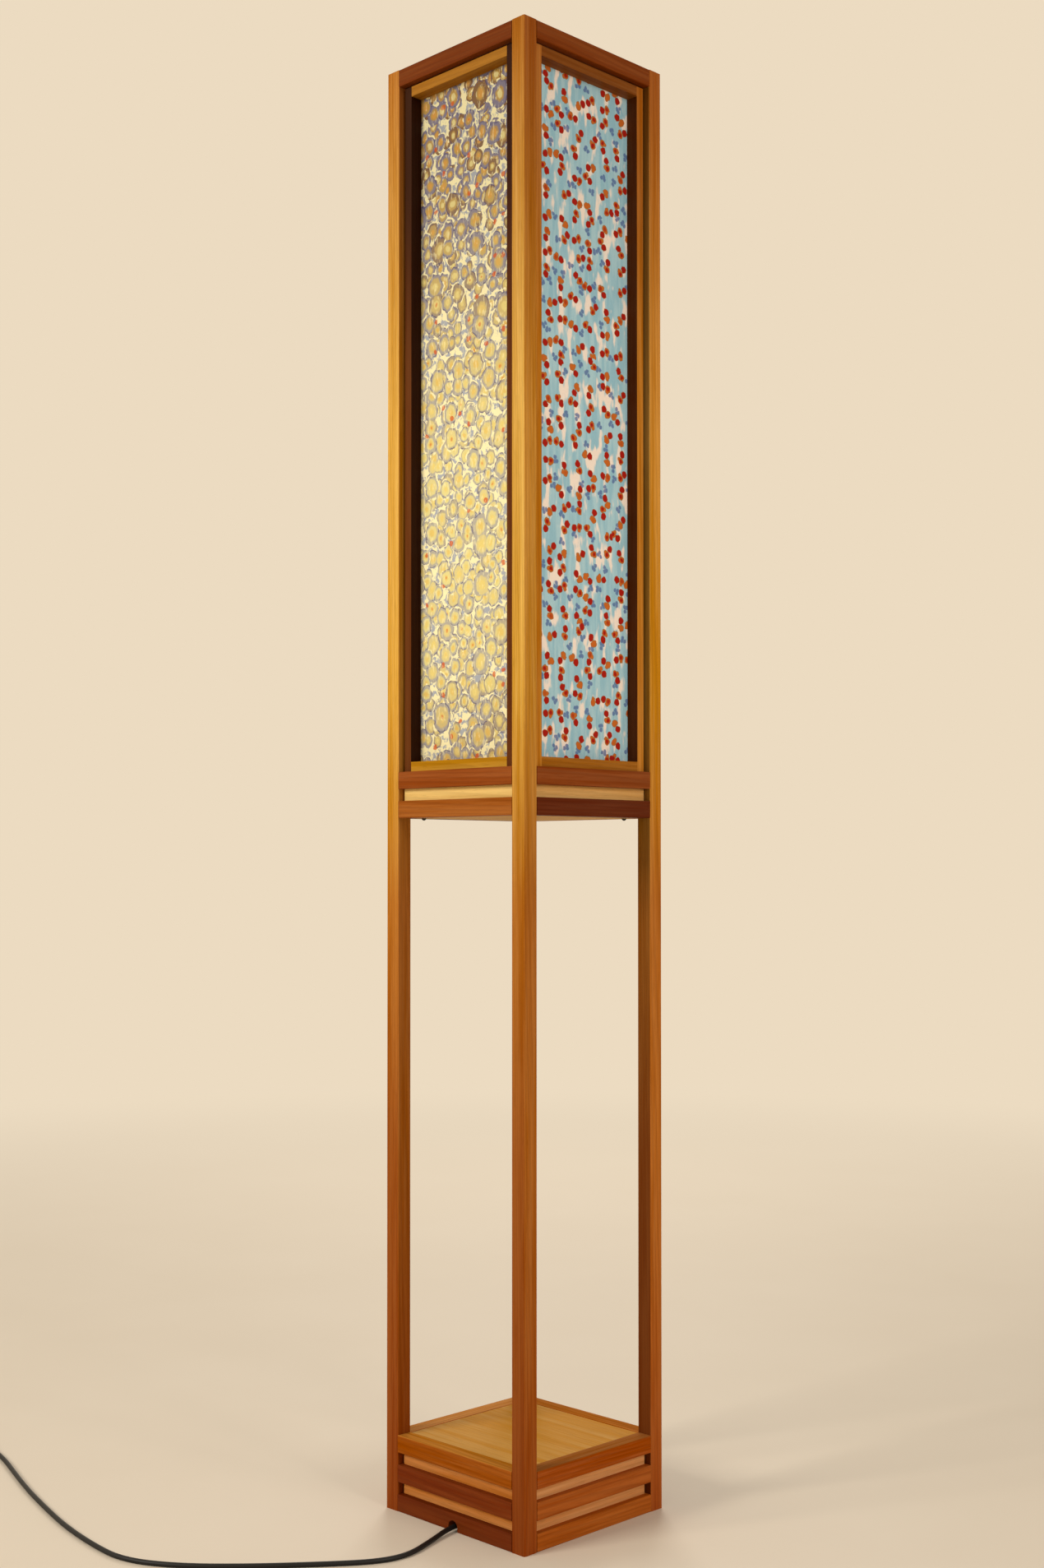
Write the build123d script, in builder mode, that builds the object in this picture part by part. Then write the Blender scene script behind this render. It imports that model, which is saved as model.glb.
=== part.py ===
"""A tall square andon floor lamp, as an assembly of its separate pieces, in millimetres.

The floor is z = 0 and the lamp's axis is the Z axis. The sides are parallel to X and Y. Seen from the
front corner, which points to +X -Y, the four sides are called left (-Y), right (+X), rear_right (+Y)
and rear_left (-X). Each side has an angle, and a piece of a side is drawn once, for angle 0, on a
plane that is turned by that angle.
"""
from build123d import *
import math
import os

os.makedirs("parts", exist_ok=True)

# ---- The dark frame ----------------------------------------------------------------
HEIGHT = 1800.0  # from the floor to the top of the posts
SIDE = 243.5  # outside width of the square plan
POST = 21.3  # section of a post, and depth of a rail
RAIL = 21.3  # height of a rail
SLOT = 15.0  # open height between two rails of a ring
SHADE_FOOT = 918.0  # top of the shade rails, on which the paper frames stand
POST_EDGE = 1.6  # rounding on the arrises of a post
RAIL_EDGE = 1.2  # rounding on the long arrises of a rail
TENON_THICKNESS = 5.0
TENON_HEIGHT = 13.0
TENON_LENGTH = 6.5
MORTISE_AIR = 0.3  # space beyond the end of a tenon

# ---- The pale strips and boards ------------------------------------------------------
STRIP_SETBACK = 8.5  # from the outer face of the rails to the face of a slot strip
STRIP_THICKNESS = 6.0
STRIP_END_AIR = 2.5  # between the end of a strip and the post
BOARD_AIR = 0.3  # around the shelf and the lantern floor
SHELF_THICKNESS = 12.0
SHELF_DROP = 0.8  # the shelf lies this far under the top of its rails
FLOOR_THICKNESS = 9.0
CLEAT_WIDTH = 16.0
CLEAT_HEIGHT = 7.0
CLEAT_END_AIR = 14.0  # between the end of a cleat and the rail across it

# ---- The paper frames ----------------------------------------------------------------
FRAME_SETBACK = 7.5  # from the outer face of the posts to the face of a paper frame
FRAME_AIR = 3.2  # between a paper frame and the posts
FRAME_TOP_AIR = 2.2  # between a paper frame and the top rail
FRAME_WIDTH = 12.2  # face width of stiles and rails
FRAME_EDGE = 0.8
GLUE_LINE = 0.05  # between the stiles and rails of a paper frame
PAPER = 0.5
PAPER_MARGIN = 2.0  # the paper ends this far inside the frame's outer edge
CORNER_AIR = 0.1  # between the backs of two neighbouring papers, at the corner
PIN_RADIUS = 1.5
PIN_IN_POST = 3.5
PIN_IN_STILE = 5.0
PIN_END_DISTANCE = 120.0  # from the ends of a stile to its pins
PIN_STAGGER = 12.0  # the pins of neighbouring sides miss each other in the post

# ---- Fasteners -----------------------------------------------------------------------
SCREW_HEAD_RADIUS = 3.1
SCREW_HEAD_HEIGHT = 2.9
SCREW_RADIUS = 1.6
SCREW_LENGTH = 14.0
SCREW_END_DISTANCE = 15.0  # from the end of the lantern floor to its screws

# ---- The lampholder and the bulb -----------------------------------------------------
HOLDER_FLANGE_RADIUS = 29.0
HOLDER_FLANGE_HEIGHT = 17.0
HOLDER_BARREL_RADIUS = 21.0
HOLDER_BARREL_HEIGHT = 58.0  # above the lantern floor
HOLDER_EDGE = 2.0
SOCKET_RADIUS = 14.0
SOCKET_FLOOR = 13.0  # above the lantern floor
CAP_RADIUS = 13.2
CAP_HEIGHT = 26.0
BULB_NECK_RADIUS = 12.6
BULB_NECK_HEIGHT = 21.0
BULB_RADIUS = 30.0
BULB_HEIGHT = 86.0  # the glass, above the cap
HOLDER_SCREW_LINE = 25.0  # from the lamp's axis to the holder's screws
HOLDER_SCREW_DEPTH = 11.0  # the screw heads lie this far under the top of the flange

# ---- The cable and its fittings --------------------------------------------------------
CORD_DIAMETER = 6.0
CABLE_WAY = 9.0  # square way for the cable, down the inner corner of the rear post
FLOOR_WAY = 24.0  # the wider way through the lantern floor, where the cable bends
CABLE_BEND = 27.0
FLEX_BEND = 42.0
RISE_BEND = 200.0  # where the cable rises from the floor to the clamp
FLEX_TURN = 45.0  # how far from the lamp's axis, along X and Y, the cable turns inside the foot
CABLE_INSERT = 8.0  # length of cable inside the holder's flange
CABLE_ENTRY_HEIGHT = 12.4  # above the lantern floor, over its cleats
CABLE_LIFT = 0.2  # the inner cable's underside, over the floor
CLIP_COUNT = 5
CLIP_THICKNESS = 1.1
CLIP_HEIGHT = 5.0
CLIP_NAIL_RADIUS = 0.8
CLIP_NAIL_LENGTH = 9.0
CLAMP_WIDTH = 34.0
CLAMP_DEPTH = 9.0
CLAMP_HEIGHT = 13.0
CLAMP_LIFT = 0.4  # between the clamp and the floor
CLAMP_BORE_AIR = 0.05
CLAMP_STRAIGHT = 22.0  # the cable lies level over this length before it leaves the foot
CLAMP_SCREW_SPREAD = 24.0
CLAMP_SCREW_HEIGHT = 8.0
EXIT_HEIGHT = 6.0  # the cord's centre in the clamp
NOTCH_WIDTH = 16.0
NOTCH_HEIGHT = 13.0

# ---- The cord on the floor -----------------------------------------------------------
RUN_SHARE = 0.45  # share of the shorter run that an arc of the cord may take
FLOOR_CORD = CORD_DIAMETER / 2
SWITCH_CENTRE = (-784.0, -350.0)
SWITCH_LENGTH = 54.0
SWITCH_WIDTH = 27.0
SWITCH_HEIGHT = 18.0
SWITCH_CORNER = 9.0
SWITCH_EDGE = 2.5
SHELL_AIR = 0.1  # the seam between the switch's two shells
NECK_LENGTH = 20.0
NECK_ROOT_RADIUS = 6.0
NECK_TIP_RADIUS = 4.2
WINDOW_LENGTH = 20.4
WINDOW_WIDTH = 10.0
ROCKER_AIR = 0.35
ROCKER_TILT = 8.0  # degrees, from level to either end of its travel
ROCKER_HALF_LENGTH = 8.3
ROCKER_END_TOP = 7.6  # the rocker's top above its pivot, at its two ends
ROCKER_DIP_TOP = 5.8  # and in its middle
ROCKER_END_FOOT = 1.0  # the rocker's underside above its pivot, at its two ends
ROCKER_KEEL = 3.0  # how far its middle reaches below the pivot
PIVOT_HEIGHT = 12.6
PIVOT_RADIUS = 1.5
PIVOT_AIR = 0.06
PIVOT_LENGTH = 1.6
COIL_CENTRE = (-839.0, -438.0)
COIL_TURN_RADII = (40.0, 34.0, 28.0)  # of the cord's own line, in the lower layer
COIL_LAYERS = 2
COIL_EDGE = 2.5
TIE_WIDTH = 7.0
TIE_THICKNESS = 1.0
TIE_ANGLE = 40.0
PLUG_RELIEF_LENGTH = 30.0
PLUG_BODY_LENGTH = 28.0
PLUG_WIDTH = 25.0
PLUG_THICKNESS = 18.0
PLUG_EDGE = 4.0
RELIEF_TIP_RADIUS = 4.0
RELIEF_ROOT_RADIUS = 6.6
BLADE_SPREAD = 12.7
BLADE_WIDTH = 6.3
BLADE_THICKNESS = 1.5
BLADE_LENGTH = 17.0

# ---- What follows from them -------------------------------------------------------------
SPAN = SIDE - 2 * POST  # clear width between two posts
RAIL_LINE = (SIDE - POST) / 2  # from the axis to the middle of a rail
TOP_RAIL_Z = HEIGHT - RAIL
SHADE_RAIL_Z = SHADE_FOOT - RAIL
FLOOR_RAIL_Z = SHADE_RAIL_Z - SLOT - RAIL
BASE_TOP_Z = 2 * (RAIL + SLOT)
BASE_MIDDLE_Z = RAIL + SLOT
SHELF_TOP_Z = BASE_TOP_Z + RAIL - SHELF_DROP
FLOOR_TOP_Z = FLOOR_RAIL_Z + FLOOR_THICKNESS
WAY_TOP_Z = SHADE_RAIL_Z - SLOT
BOARD_SIDE = SPAN - 2 * BOARD_AIR
CORNER = SPAN / 2  # the inner corner of a post, from the axis, along X and along Y
FRAME_DEPTH = POST + FRAME_AIR - FRAME_SETBACK - PAPER - CORNER_AIR
FRAME_SPAN = SPAN - 2 * FRAME_AIR
FRAME_HEIGHT = TOP_RAIL_Z - FRAME_TOP_AIR - SHADE_FOOT
FRAME_MIDDLE_Z = SHADE_FOOT + FRAME_HEIGHT / 2
PIN_LINE = SIDE / 2 - FRAME_SETBACK - FRAME_DEPTH / 2
CORD_RADIUS = CORD_DIAMETER / 2
CABLE_ENTRY_Z = FLOOR_TOP_Z + CABLE_ENTRY_HEIGHT
SWITCH_CORD_Z = SWITCH_HEIGHT / 2
NECK_TIP = SWITCH_LENGTH / 2 + NECK_LENGTH
COIL_OUTER = COIL_TURN_RADII[0] + CORD_RADIUS
COIL_INNER = COIL_TURN_RADII[-1] - CORD_RADIUS
COIL_HEIGHT = COIL_LAYERS * CORD_DIAMETER

SIDES = {"left": 0, "right": 90, "rear_right": 180, "rear_left": 270}
REAR_SIDES = (180, 270)
# Each post: the signs of its X and Y, and the angles of the two sides that meet at it.
POSTS = {
    "front_post": (1, -1, (0, 90)),
    "right_post": (1, 1, (90, 180)),
    "rear_post": (-1, 1, (180, 270)),
    "left_post": (-1, -1, (270, 0)),
}
RINGS = {
    "top_rail": TOP_RAIL_Z,
    "shade_rail": SHADE_RAIL_Z,
    "lantern_floor_rail": FLOOR_RAIL_Z,
    "base_top_rail": BASE_TOP_Z,
    "base_middle_rail": BASE_MIDDLE_Z,
    "base_bottom_rail": 0.0,
}


def turned(height, angle):
    """A level plane at a height, with its X axis along the side at this angle."""
    return Plane(origin=(0, 0, height), x_dir=Vector(1, 0, 0).rotate(Axis.Z, angle), z_dir=(0, 0, 1))


def facing(angle, depth):
    """An upright plane that faces out of a side, at a depth behind its outer face."""
    outward = Vector(0, -1, 0).rotate(Axis.Z, angle)
    along = Vector(1, 0, 0).rotate(Axis.Z, angle)
    return Plane(origin=outward * (SIDE / 2 - depth), x_dir=along, z_dir=outward)


def finish(piece, name):
    """Name a finished piece and write its file."""
    piece.part.label = name
    export_step(piece.part, f"parts/{name}.step")


def tenon_bar(angle, bottom, length):
    """The bar that a rail's two tenons are the ends of, sketched and extruded where it is called."""
    with BuildSketch(turned(bottom + (RAIL - TENON_HEIGHT) / 2, angle)) as outline:
        with Locations((0, -RAIL_LINE)):
            Rectangle(SPAN + 2 * length, TENON_THICKNESS)
    return outline.sketch


def cut_cable_way():
    """Cut the square way along the inner corner of the rear post out of the piece being built."""
    with Locations((-CORNER, CORNER, 0)):
        Box(
            CABLE_WAY,
            CABLE_WAY,
            WAY_TOP_Z,
            align=(Align.CENTER, Align.CENTER, Align.MIN),
            mode=Mode.SUBTRACT,
        )


def frame_pin_places(angle):
    """The planes, each along its pin, of the four pins of one side's paper frame."""
    along = Vector(1, 0, 0).rotate(Axis.Z, angle)
    stagger = PIN_STAGGER / 2 if angle in (0, 180) else -PIN_STAGGER / 2
    reach = CORNER - FRAME_AIR / 2 + (PIN_IN_POST - PIN_IN_STILE) / 2
    places = []
    for height in (SHADE_FOOT + PIN_END_DISTANCE, SHADE_FOOT + FRAME_HEIGHT - PIN_END_DISTANCE):
        for end in (-1, 1):
            middle = Vector(end * reach, -PIN_LINE, height + stagger).rotate(Axis.Z, angle)
            places.append(Plane(origin=middle, x_dir=(0, 0, 1), z_dir=along))
    return places


def frame_pins_of(angle, mode):
    """Add or cut the pins of one side's paper frame."""
    with Locations(*frame_pin_places(angle)):
        Cylinder(PIN_RADIUS, PIN_IN_POST + FRAME_AIR + PIN_IN_STILE, mode=mode)


def clip_heights():
    """The heights of the cable clips, evenly spaced between the shelf and the lantern floor."""
    pitch = (FLOOR_RAIL_Z - SHELF_TOP_Z) / CLIP_COUNT
    return [SHELF_TOP_Z + pitch * (step + 0.5) for step in range(CLIP_COUNT)]


def clip_nails(mode):
    """Add or cut the nails that hold the cable clips to the rear post."""
    reach = (CORD_RADIUS + CLIP_THICKNESS / 2 + CLIP_NAIL_LENGTH / 2) / math.sqrt(2)
    places = [
        Plane(origin=(-CORNER - reach, CORNER + reach, height), x_dir=(0, 0, 1), z_dir=(-1, 1, 0))
        for height in clip_heights()
    ]
    with Locations(*places):
        Cylinder(CLIP_NAIL_RADIUS, CLIP_NAIL_LENGTH, mode=mode)


def bend_radii(points):
    """The largest radius that the two runs at each corner of a cord's route leave room for."""
    radii = []
    for before, corner, after in zip(points, points[1:], points[2:]):
        arriving = Vector(corner) - Vector(before)
        leaving = Vector(after) - Vector(corner)
        half_turn = math.radians(arriving.get_angle(leaving)) / 2
        radii.append(RUN_SHARE * min(arriving.length, leaving.length) / math.tan(half_turn))
    return radii


def cord_tube(points, radii, name):
    """A round cord along straight runs joined by tangent arcs. Its radii and volume are printed."""
    with BuildPart() as tube:
        with BuildLine() as route:
            path = FilletPolyline(*points, radius=radii)
        with BuildSketch(Plane(origin=path @ 0, z_dir=path % 0)):
            Circle(CORD_RADIUS)
        sweep(path=route.wires()[0])
    length = route.wires()[0].length
    share = tube.part.volume / (math.pi * CORD_RADIUS**2 * length)
    print(name, "length", round(length), "volume share", round(share, 4))
    print("  radii", [round(radius) for radius in radii])
    finish(tube, name)


# ---- Screws: the places of all the round-head screws, each plane pointing out of its head -----------
floor_screw_x = BOARD_SIDE / 2 - SCREW_END_DISTANCE
floor_screw_y = CORNER - CLEAT_WIDTH / 2
floor_screws = [
    Plane(origin=(x * floor_screw_x, y * floor_screw_y, FLOOR_RAIL_Z), z_dir=(0, 0, -1))
    for x in (-1, 1)
    for y in (-1, 1)
]
holder_seat_z = FLOOR_TOP_Z + HOLDER_FLANGE_HEIGHT - HOLDER_SCREW_DEPTH
holder_screws = [
    Plane(origin=(x * HOLDER_SCREW_LINE / math.sqrt(2), x * HOLDER_SCREW_LINE / math.sqrt(2), holder_seat_z))
    for x in (-1, 1)
]
clamp_screws = [
    Plane(origin=(x * CLAMP_SCREW_SPREAD / 2, -CORNER + CLAMP_DEPTH, CLAMP_SCREW_HEIGHT), z_dir=(0, 1, 0))
    for x in (-1, 1)
]


def screw_holes(places, radius=SCREW_RADIUS):
    """Cut the holes of some screws out of the piece being built."""
    with Locations(*places):
        Cylinder(radius, 2 * SCREW_LENGTH, mode=Mode.SUBTRACT)


with BuildPart() as one_screw:
    with BuildSketch(Plane.XZ):
        with BuildLine():
            Polyline((0, SCREW_HEAD_HEIGHT), (0, -SCREW_LENGTH), (SCREW_RADIUS, -SCREW_LENGTH + SCREW_RADIUS))
            Polyline((SCREW_RADIUS, -SCREW_LENGTH + SCREW_RADIUS), (SCREW_RADIUS, 0), (SCREW_HEAD_RADIUS, 0))
            TangentArc((0, SCREW_HEAD_HEIGHT), (SCREW_HEAD_RADIUS, 0), tangent=(1, 0))
        make_face()
    revolve(axis=Axis.Z)

with BuildPart() as round_head_screws:
    with Locations(*floor_screws, *holder_screws, *clamp_screws):
        add(one_screw.part)
finish(round_head_screws, "round_head_screws")

# ---- Posts ------------------------------------------------------------------------------------------
for post_name, (sign_x, sign_y, side_angles) in POSTS.items():
    with BuildPart() as post:
        with BuildSketch():
            with Locations((sign_x * RAIL_LINE, sign_y * RAIL_LINE)):
                Rectangle(POST, POST)
        extrude(amount=HEIGHT)
        fillet(post.edges().filter_by(Axis.Z), POST_EDGE)
        for side_angle in side_angles:
            for ring_z in RINGS.values():
                add(tenon_bar(side_angle, ring_z, TENON_LENGTH + MORTISE_AIR))
                extrude(amount=TENON_HEIGHT, mode=Mode.SUBTRACT)
            frame_pins_of(side_angle, Mode.SUBTRACT)
        if post_name == "rear_post":
            cut_cable_way()
            clip_nails(Mode.SUBTRACT)
    finish(post, post_name)

# ---- Rails ------------------------------------------------------------------------------------------
for ring_name, ring_z in RINGS.items():
    for side_name, side_angle in SIDES.items():
        level = turned(ring_z, side_angle)
        with BuildPart() as rail:
            with BuildSketch(level):
                with Locations((0, -RAIL_LINE)):
                    Rectangle(SPAN, POST)
            extrude(amount=RAIL)
            fillet(rail.edges().filter_by(Axis((0, 0, 0), level.x_dir)), RAIL_EDGE)
            add(tenon_bar(side_angle, ring_z, TENON_LENGTH))
            extrude(amount=TENON_HEIGHT)
            if side_angle in REAR_SIDES and ring_z < WAY_TOP_Z:
                cut_cable_way()
            if side_name == "left" and ring_z == 0:
                with BuildSketch(facing(side_angle, 0)):
                    with Locations((0, NOTCH_HEIGHT - NOTCH_WIDTH / 2)):
                        Circle(NOTCH_WIDTH / 2)
                        Rectangle(NOTCH_WIDTH, NOTCH_HEIGHT, align=(Align.CENTER, Align.MAX))
                extrude(amount=-POST, mode=Mode.SUBTRACT)
                screw_holes(clamp_screws)
        finish(rail, f"{ring_name}_{side_name}")

# ---- Slot strips ------------------------------------------------------------------------------------


def add_strips(bottom):
    """Four strips that fill a slot from rail to rail, set back from the face and short of the posts."""
    for angle in SIDES.values():
        with BuildSketch(turned(bottom, angle)) as strip:
            with Locations((0, -(SIDE - STRIP_THICKNESS) / 2 + STRIP_SETBACK)):
                Rectangle(SPAN - 2 * STRIP_END_AIR, STRIP_THICKNESS)
        extrude(strip.sketch, amount=SLOT)


with BuildPart() as lantern_slot_strips:
    add_strips(FLOOR_RAIL_Z + RAIL)
finish(lantern_slot_strips, "lantern_slot_strips")

with BuildPart() as base_slot_strips:
    add_strips(RAIL)
    add_strips(BASE_MIDDLE_Z + RAIL)
finish(base_slot_strips, "base_slot_strips")

# ---- The shelf in the foot, and the lantern floor ----------------------------------------------------


def add_cleats(bottom):
    """Two cleats along the left and rear right rails, against their inner faces."""
    with BuildSketch(Plane.XY.offset(bottom)) as cleats:
        with Locations((0, -CORNER + CLEAT_WIDTH / 2), (0, CORNER - CLEAT_WIDTH / 2)):
            Rectangle(SPAN - 2 * CLEAT_END_AIR, CLEAT_WIDTH)
    extrude(cleats.sketch, amount=CLEAT_HEIGHT)


with BuildPart() as shelf_board:
    with BuildSketch(Plane.XY.offset(SHELF_TOP_Z - SHELF_THICKNESS)):
        Rectangle(BOARD_SIDE, BOARD_SIDE)
    extrude(amount=SHELF_THICKNESS)
    cut_cable_way()
finish(shelf_board, "shelf_board")

with BuildPart() as shelf_cleats:
    add_cleats(SHELF_TOP_Z - SHELF_THICKNESS - CLEAT_HEIGHT)
finish(shelf_cleats, "shelf_cleats")

with BuildPart() as lantern_floor_board:
    with BuildSketch(Plane.XY.offset(FLOOR_RAIL_Z)):
        Rectangle(BOARD_SIDE, BOARD_SIDE)
        with Locations((-CORNER, CORNER)):
            Rectangle(FLOOR_WAY, FLOOR_WAY, mode=Mode.SUBTRACT)
    extrude(amount=FLOOR_THICKNESS)
    screw_holes(floor_screws)
    screw_holes(holder_screws)
finish(lantern_floor_board, "lantern_floor_board")

with BuildPart() as lantern_floor_cleats:
    add_cleats(FLOOR_TOP_Z)
    screw_holes(floor_screws)
finish(lantern_floor_cleats, "lantern_floor_cleats")

# ---- Paper frames, papers and pins -------------------------------------------------------------------
for side_name, side_angle in SIDES.items():
    back = facing(side_angle, FRAME_SETBACK + FRAME_DEPTH)
    with BuildPart() as paper_frame:
        with BuildSketch(back):
            with Locations((0, FRAME_MIDDLE_Z)):
                with GridLocations(FRAME_SPAN - FRAME_WIDTH, 0, 2, 1):
                    Rectangle(FRAME_WIDTH, FRAME_HEIGHT)
        extrude(amount=FRAME_DEPTH)
        fillet(paper_frame.edges().filter_by(Axis.Z).group_by(SortBy.DISTANCE)[-1], FRAME_EDGE)
        with BuildSketch(back):
            with Locations((0, FRAME_MIDDLE_Z)):
                with GridLocations(0, FRAME_HEIGHT - FRAME_WIDTH, 1, 2):
                    Rectangle(FRAME_SPAN - 2 * (FRAME_WIDTH + GLUE_LINE), FRAME_WIDTH)
        extrude(amount=FRAME_DEPTH)
        frame_pins_of(side_angle, Mode.SUBTRACT)
    finish(paper_frame, f"paper_frame_{side_name}")

    with BuildPart() as paper:
        with BuildSketch(facing(side_angle, FRAME_SETBACK + FRAME_DEPTH + PAPER)):
            with Locations((0, FRAME_MIDDLE_Z)):
                Rectangle(FRAME_SPAN - 2 * PAPER_MARGIN, FRAME_HEIGHT - 2 * PAPER_MARGIN)
        extrude(amount=PAPER)
    finish(paper, f"paper_{side_name}")

with BuildPart() as frame_pins:
    for side_angle in SIDES.values():
        frame_pins_of(side_angle, Mode.ADD)
finish(frame_pins, "frame_pins")

# ---- Lampholder and bulb -----------------------------------------------------------------------------
cap_z = FLOOR_TOP_Z + SOCKET_FLOOR
glass_z = cap_z + CAP_HEIGHT
entry_direction = Vector(-1, 1, 0).normalized()
cable_start = entry_direction * (HOLDER_FLANGE_RADIUS - CABLE_INSERT) + Vector(0, 0, CABLE_ENTRY_Z)

with BuildPart() as lampholder:
    with BuildSketch(Plane.XY.offset(FLOOR_TOP_Z)):
        Circle(HOLDER_FLANGE_RADIUS)
    extrude(amount=HOLDER_FLANGE_HEIGHT)
    with BuildSketch(Plane.XY.offset(FLOOR_TOP_Z)):
        Circle(HOLDER_BARREL_RADIUS)
    extrude(amount=HOLDER_BARREL_HEIGHT)
    fillet(lampholder.edges().filter_by(GeomType.CIRCLE).group_by(Axis.Z)[1:], HOLDER_EDGE)
    with BuildSketch(Plane.XY.offset(cap_z)):
        Circle(SOCKET_RADIUS)
    extrude(amount=HOLDER_BARREL_HEIGHT, mode=Mode.SUBTRACT)
    with BuildSketch(Plane(origin=cable_start, z_dir=entry_direction)):
        Circle(CORD_RADIUS)
    extrude(amount=2 * CABLE_INSERT, mode=Mode.SUBTRACT)
    with Locations(*holder_screws):
        CounterBoreHole(SCREW_RADIUS, SCREW_HEAD_RADIUS, 0, depth=SCREW_LENGTH)
        Cylinder(
            SCREW_HEAD_RADIUS,
            HOLDER_SCREW_DEPTH,
            align=(Align.CENTER, Align.CENTER, Align.MIN),
            mode=Mode.SUBTRACT,
        )
finish(lampholder, "lampholder")

with BuildPart() as bulb_cap:
    with BuildSketch(Plane.XY.offset(cap_z)):
        Circle(CAP_RADIUS)
    extrude(amount=CAP_HEIGHT)
finish(bulb_cap, "bulb_cap")

with BuildPart() as bulb_glass:
    with BuildSketch(Plane.XZ):
        with BuildLine():
            top = glass_z + BULB_HEIGHT
            globe_z = top - BULB_RADIUS
            Polyline(
                (0, top),
                (0, glass_z),
                (BULB_NECK_RADIUS, glass_z),
                (BULB_NECK_RADIUS, glass_z + BULB_NECK_HEIGHT),
            )
            Spline(
                (BULB_NECK_RADIUS, glass_z + BULB_NECK_HEIGHT),
                (BULB_RADIUS, globe_z),
                tangents=((0, 1), (0, 1)),
            )
            CenterArc((0, globe_z), BULB_RADIUS, 0, 90)
        make_face()
    revolve(axis=Axis.Z)
finish(bulb_glass, "bulb_glass")

# ---- Inner cable, its clips and the cord clamp --------------------------------------------------------
clamp_back = -CORNER + CLAMP_DEPTH
flex_z = CORD_RADIUS + CABLE_LIFT
inner_route = [
    tuple(cable_start),
    (-CORNER, CORNER, CABLE_ENTRY_Z),
    (-CORNER, CORNER, flex_z),
    (-FLEX_TURN, FLEX_TURN, flex_z),
    (0, -FLEX_TURN, flex_z),
    (0, -CORNER + CLAMP_STRAIGHT, EXIT_HEIGHT),
    (0, -CORNER, EXIT_HEIGHT),
]
cord_tube(inner_route, [CABLE_BEND, CABLE_BEND, FLEX_BEND, FLEX_BEND, RISE_BEND], "inner_cable")

with BuildPart() as cable_clips:
    for clip_z in clip_heights():
        with BuildSketch(Plane.XY.offset(clip_z - CLIP_HEIGHT / 2)):
            with Locations((-CORNER, CORNER)):
                Circle(CORD_RADIUS + CLIP_THICKNESS)
        extrude(amount=CLIP_HEIGHT)
    clip_nails(Mode.ADD)
    for clip_z in clip_heights():
        with BuildSketch(Plane.XY.offset(clip_z - CLIP_HEIGHT / 2)):
            with Locations((-CORNER, CORNER)):
                Circle(CORD_RADIUS)
        extrude(amount=CLIP_HEIGHT, mode=Mode.SUBTRACT)
finish(cable_clips, "cable_clips")

with BuildPart() as cord_clamp:
    with BuildSketch(Plane.XY.offset(CLAMP_LIFT)):
        with Locations((0, clamp_back)):
            Rectangle(CLAMP_WIDTH, CLAMP_DEPTH, align=(Align.CENTER, Align.MAX))
    extrude(amount=CLAMP_HEIGHT)
    fillet(cord_clamp.edges().filter_by(Axis.Y), RAIL_EDGE)
    with Locations(Plane(origin=(0, clamp_back, EXIT_HEIGHT), z_dir=(0, 1, 0))):
        Cylinder(CORD_RADIUS + CLAMP_BORE_AIR, 4 * CLAMP_DEPTH, mode=Mode.SUBTRACT)
    screw_holes(clamp_screws)
finish(cord_clamp, "cord_clamp")

# ---- The cord on the floor ----------------------------------------------------------------------------
switch_x, switch_y = SWITCH_CENTRE
cord_route = [
    (0, -CORNER, EXIT_HEIGHT),
    (0, -126, EXIT_HEIGHT),
    (12, -167, FLOOR_CORD),
    (28, -218, FLOOR_CORD),
    (18, -258, FLOOR_CORD),
    (-21, -309, FLOOR_CORD),
    (-73, -371, FLOOR_CORD),
    (-132, -429, FLOOR_CORD),
    (-193, -462, FLOOR_CORD),
    (-262, -459, FLOOR_CORD),
    (-338, -448, FLOOR_CORD),
    (-413, -430, FLOOR_CORD),
    (-488, -410, FLOOR_CORD),
    (-557, -388, FLOOR_CORD),
    (-620, -367, FLOOR_CORD),
    (-675, -355, FLOOR_CORD),
    (-712, -350, SWITCH_CORD_Z),
    (switch_x + NECK_TIP, switch_y, SWITCH_CORD_Z),
]
cord_tube(cord_route, bend_radii(cord_route), "cord")

lead_x = COIL_CENTRE[0] - COIL_TURN_RADII[0]
lead_route = [
    (switch_x - NECK_TIP, switch_y, SWITCH_CORD_Z),
    (-849, -350, SWITCH_CORD_Z),
    (-868, -361, 6),
    (lead_x, -380, FLOOR_CORD),
    (lead_x, -422, FLOOR_CORD),
]
cord_tube(lead_route, bend_radii(lead_route), "cord_lead")

with BuildPart() as cord_coil:
    with BuildSketch():
        with Locations(COIL_CENTRE):
            Circle(COIL_OUTER)
            Circle(COIL_INNER, mode=Mode.SUBTRACT)
    extrude(amount=COIL_HEIGHT)
    fillet(cord_coil.edges().filter_by(GeomType.CIRCLE), COIL_EDGE)
finish(cord_coil, "cord_coil")

with BuildPart() as coil_tie:
    tie_middle = Vector((COIL_OUTER + COIL_INNER) / 2, 0, 0).rotate(Axis.Z, TIE_ANGLE)
    tie_plane = Plane(origin=Vector(*COIL_CENTRE, 0) + tie_middle, x_dir=tie_middle, z_dir=(0, 0, 1))
    with BuildSketch(tie_plane):
        Rectangle(COIL_OUTER - COIL_INNER + 2 * TIE_THICKNESS, TIE_WIDTH)
    extrude(amount=COIL_HEIGHT + TIE_THICKNESS)
    with BuildSketch():
        with Locations(COIL_CENTRE):
            Circle(COIL_OUTER)
            Circle(COIL_INNER, mode=Mode.SUBTRACT)
    extrude(amount=COIL_HEIGHT, mode=Mode.SUBTRACT)
finish(coil_tie, "coil_tie")

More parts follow.
